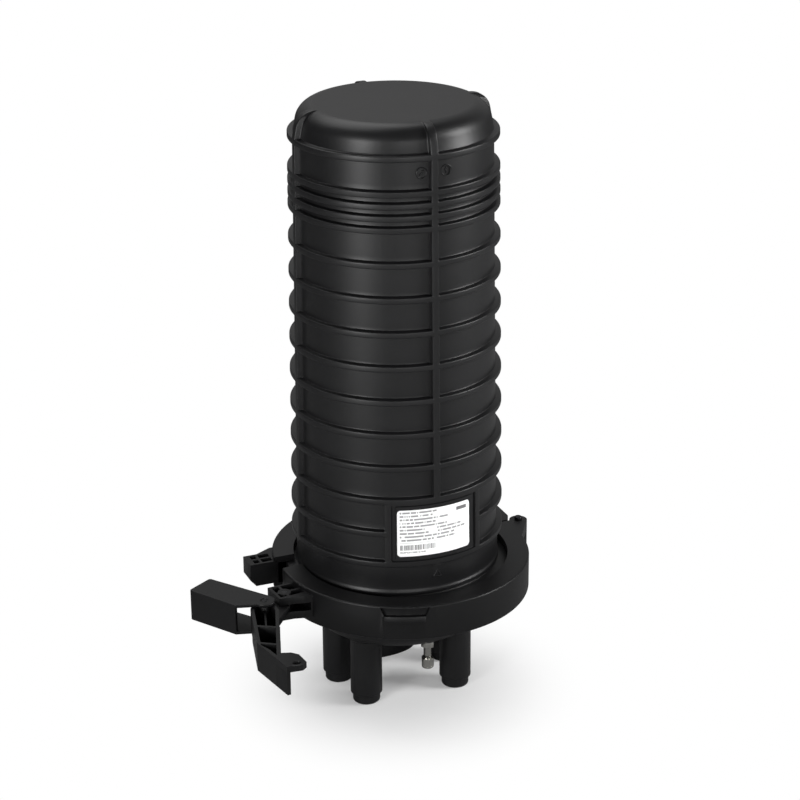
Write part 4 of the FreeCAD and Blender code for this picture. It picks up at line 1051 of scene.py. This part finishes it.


# Painted shade: a darker tone and weaker reflections than the dome's black, as the ring and latch sit
# low by the floor.
nylon = black_moulding("black_glass_filled_nylon", "#070708", "#0d0d0e", 0.43, 0.0009, 0.33)
reshape_recess(softened("clamp_front_moulding", "clamp_front", 0.0007, nylon))
softened("clamp_back_moulding", "clamp_back", 0.0007, nylon)

# Latch. A ribbed nylon handle turns on the front half and carries a channel-shaped hook that
# drops over the catch block of the back half. The places here are on plan and at rest, with the
# latch hanging open and the front half of the ring turned out by 5.5 degrees.
hook_pivot = np.array([-0.14328, -0.05497])
hook_top = 0.1284
trough_left = np.array([(-0.15713, -0.05932), (-0.17188, -0.11900)])
trough_right = np.array([(-0.13567, -0.07041), (-0.16003, -0.14298)])
trough_low = 0.1067
trough_high = 0.1249
trough_margin = 0.0006
near_rib = (0.52, 0.43)
far_rib = (0.93, 0.76)
far_rib_slide = 0.0052
rib_reach = 0.0033
rib_ends = (0.05, 0.95)
tab_root = np.array([(-0.16314, -0.16799), (-0.16003, -0.14298)])
tab_low = 0.1195
tab_start = 0.0035
tab_stretch = 1.2
long_rib_start = 0.004
long_rib_way = np.array([-0.26, -0.966])
long_rib_half = 0.0008
long_rib_drop = 0.004
collar_radius = 0.0031
collar_bead = 0.0005
collar_steps = 40


def point_along(line, share):
    """The point at a share of the way from a line's start to its end."""
    return line[0] + share * (line[1] - line[0])


def way_along(line):
    """The direction from a line's start to its end, with a length of one."""
    return (line[1] - line[0]) / np.linalg.norm(line[1] - line[0])


def reshape_handle(piece):
    """Slides the far cross rib along both walls, and draws the tab out from the finger plate."""
    points = points_of(piece)
    plan = points[:, :2]
    height = points[:, 2]
    a = point_along(trough_left, far_rib[0])
    b = point_along(trough_right, far_rib[1])
    along = way_along((a, b))
    share = (plan - a) @ along / np.linalg.norm(b - a)
    off = np.abs((plan - a) @ np.array([-along[1], along[0]]))
    on_rib = (off < rib_reach) & (height > trough_low - trough_margin)
    on_rib &= (share > rib_ends[0]) & (share < rib_ends[1])
    ways = np.where((share < 0.5)[:, None], way_along(trough_left), way_along(trough_right))
    plan[on_rib] += far_rib_slide * ways[on_rib]
    root = tab_root[1] - tab_root[0]
    outward = np.array([root[1], -root[0]]) / np.linalg.norm(root)
    reach = (plan - tab_root[0]) @ outward
    on_tab = (reach > tab_start) & (height > tab_low) & (plan[:, 1] < tab_root[1][1])
    plan[on_tab, 0] += (tab_stretch - 1) * reach[on_tab]
    set_points(piece, points)


def strip_box(start, end, half, low, high):
    """An upright board between two points on plan: eight corners, six faces."""
    ahead = way_along((start, end))
    side = half * np.array([-ahead[1], ahead[0]])
    foot = np.array([start - side, end - side, end + side, start + side])
    points = np.concatenate([np.column_stack([foot, np.full(4, z)]) for z in (low, high)])
    faces = [(3, 2, 1, 0), (4, 5, 6, 7), (0, 1, 5, 4), (1, 2, 6, 5), (2, 3, 7, 6), (3, 0, 4, 7)]
    return points, np.array(faces)


def long_rib():
    """The rib from beside the hook's pin to the middle of the near cross rib."""
    start = hook_pivot + long_rib_start * long_rib_way
    end = (point_along(trough_left, near_rib[0]) + point_along(trough_right, near_rib[1])) / 2
    board = strip_box(start, end, long_rib_half, trough_low, trough_high - long_rib_drop)
    return mesh_piece("handle_long_rib", *board, smooth=False)


def pin_collar():
    """A round bead about the pin, on the top face of the hook."""
    turn = np.linspace(0, 2 * np.pi, collar_steps, endpoint=False)
    x = hook_pivot[0] + collar_radius * np.cos(turn)
    y = hook_pivot[1] + collar_radius * np.sin(turn)
    path = np.column_stack([x, y, np.full(collar_steps, hook_top)])
    cord = loop_tube(path, np.tile([0.0, 0.0, 1.0], (collar_steps, 1)), collar_bead)
    return mesh_piece("hook_pin_collar", cord, grid_faces(collar_steps, cord_sides, True, True))


handle = softened("latch_handle_moulding", "latch_handle", 0.0005, nylon)
softened("draw_hook_moulding", "draw_hook", 0.0005, nylon)
reshape_handle(handle)
for piece, body in ((long_rib(), "handle"), (pin_collar(), "hook")):
    piece.data.materials.append(nylon)
    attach(piece, body)

# Pins. Turned steel rods: the ring's hinge pin and the hook's pin are coated black, and the
# handle's pin is given a darker steel. The mouldings turn on them in plain bores.
# The handle's pin gets a dark grey tone, darker than the bare steel.
dark_pin_steel = turned_metal("dark_pin_steel", "#3a3a3c", "#48484a", 0.32)
coated_steel = turned_metal("black_oxide_steel", "#2b2b2d", "#3a3a3c", 0.42)
softened("hinge_pin_rod", "hinge_pin", 0.0004, coated_steel, 3)
softened("hook_pin_rod", "hook_pin", 0.0003, coated_steel)
softened("handle_pin_rod", "handle_pin", 0.0003, dark_pin_steel)
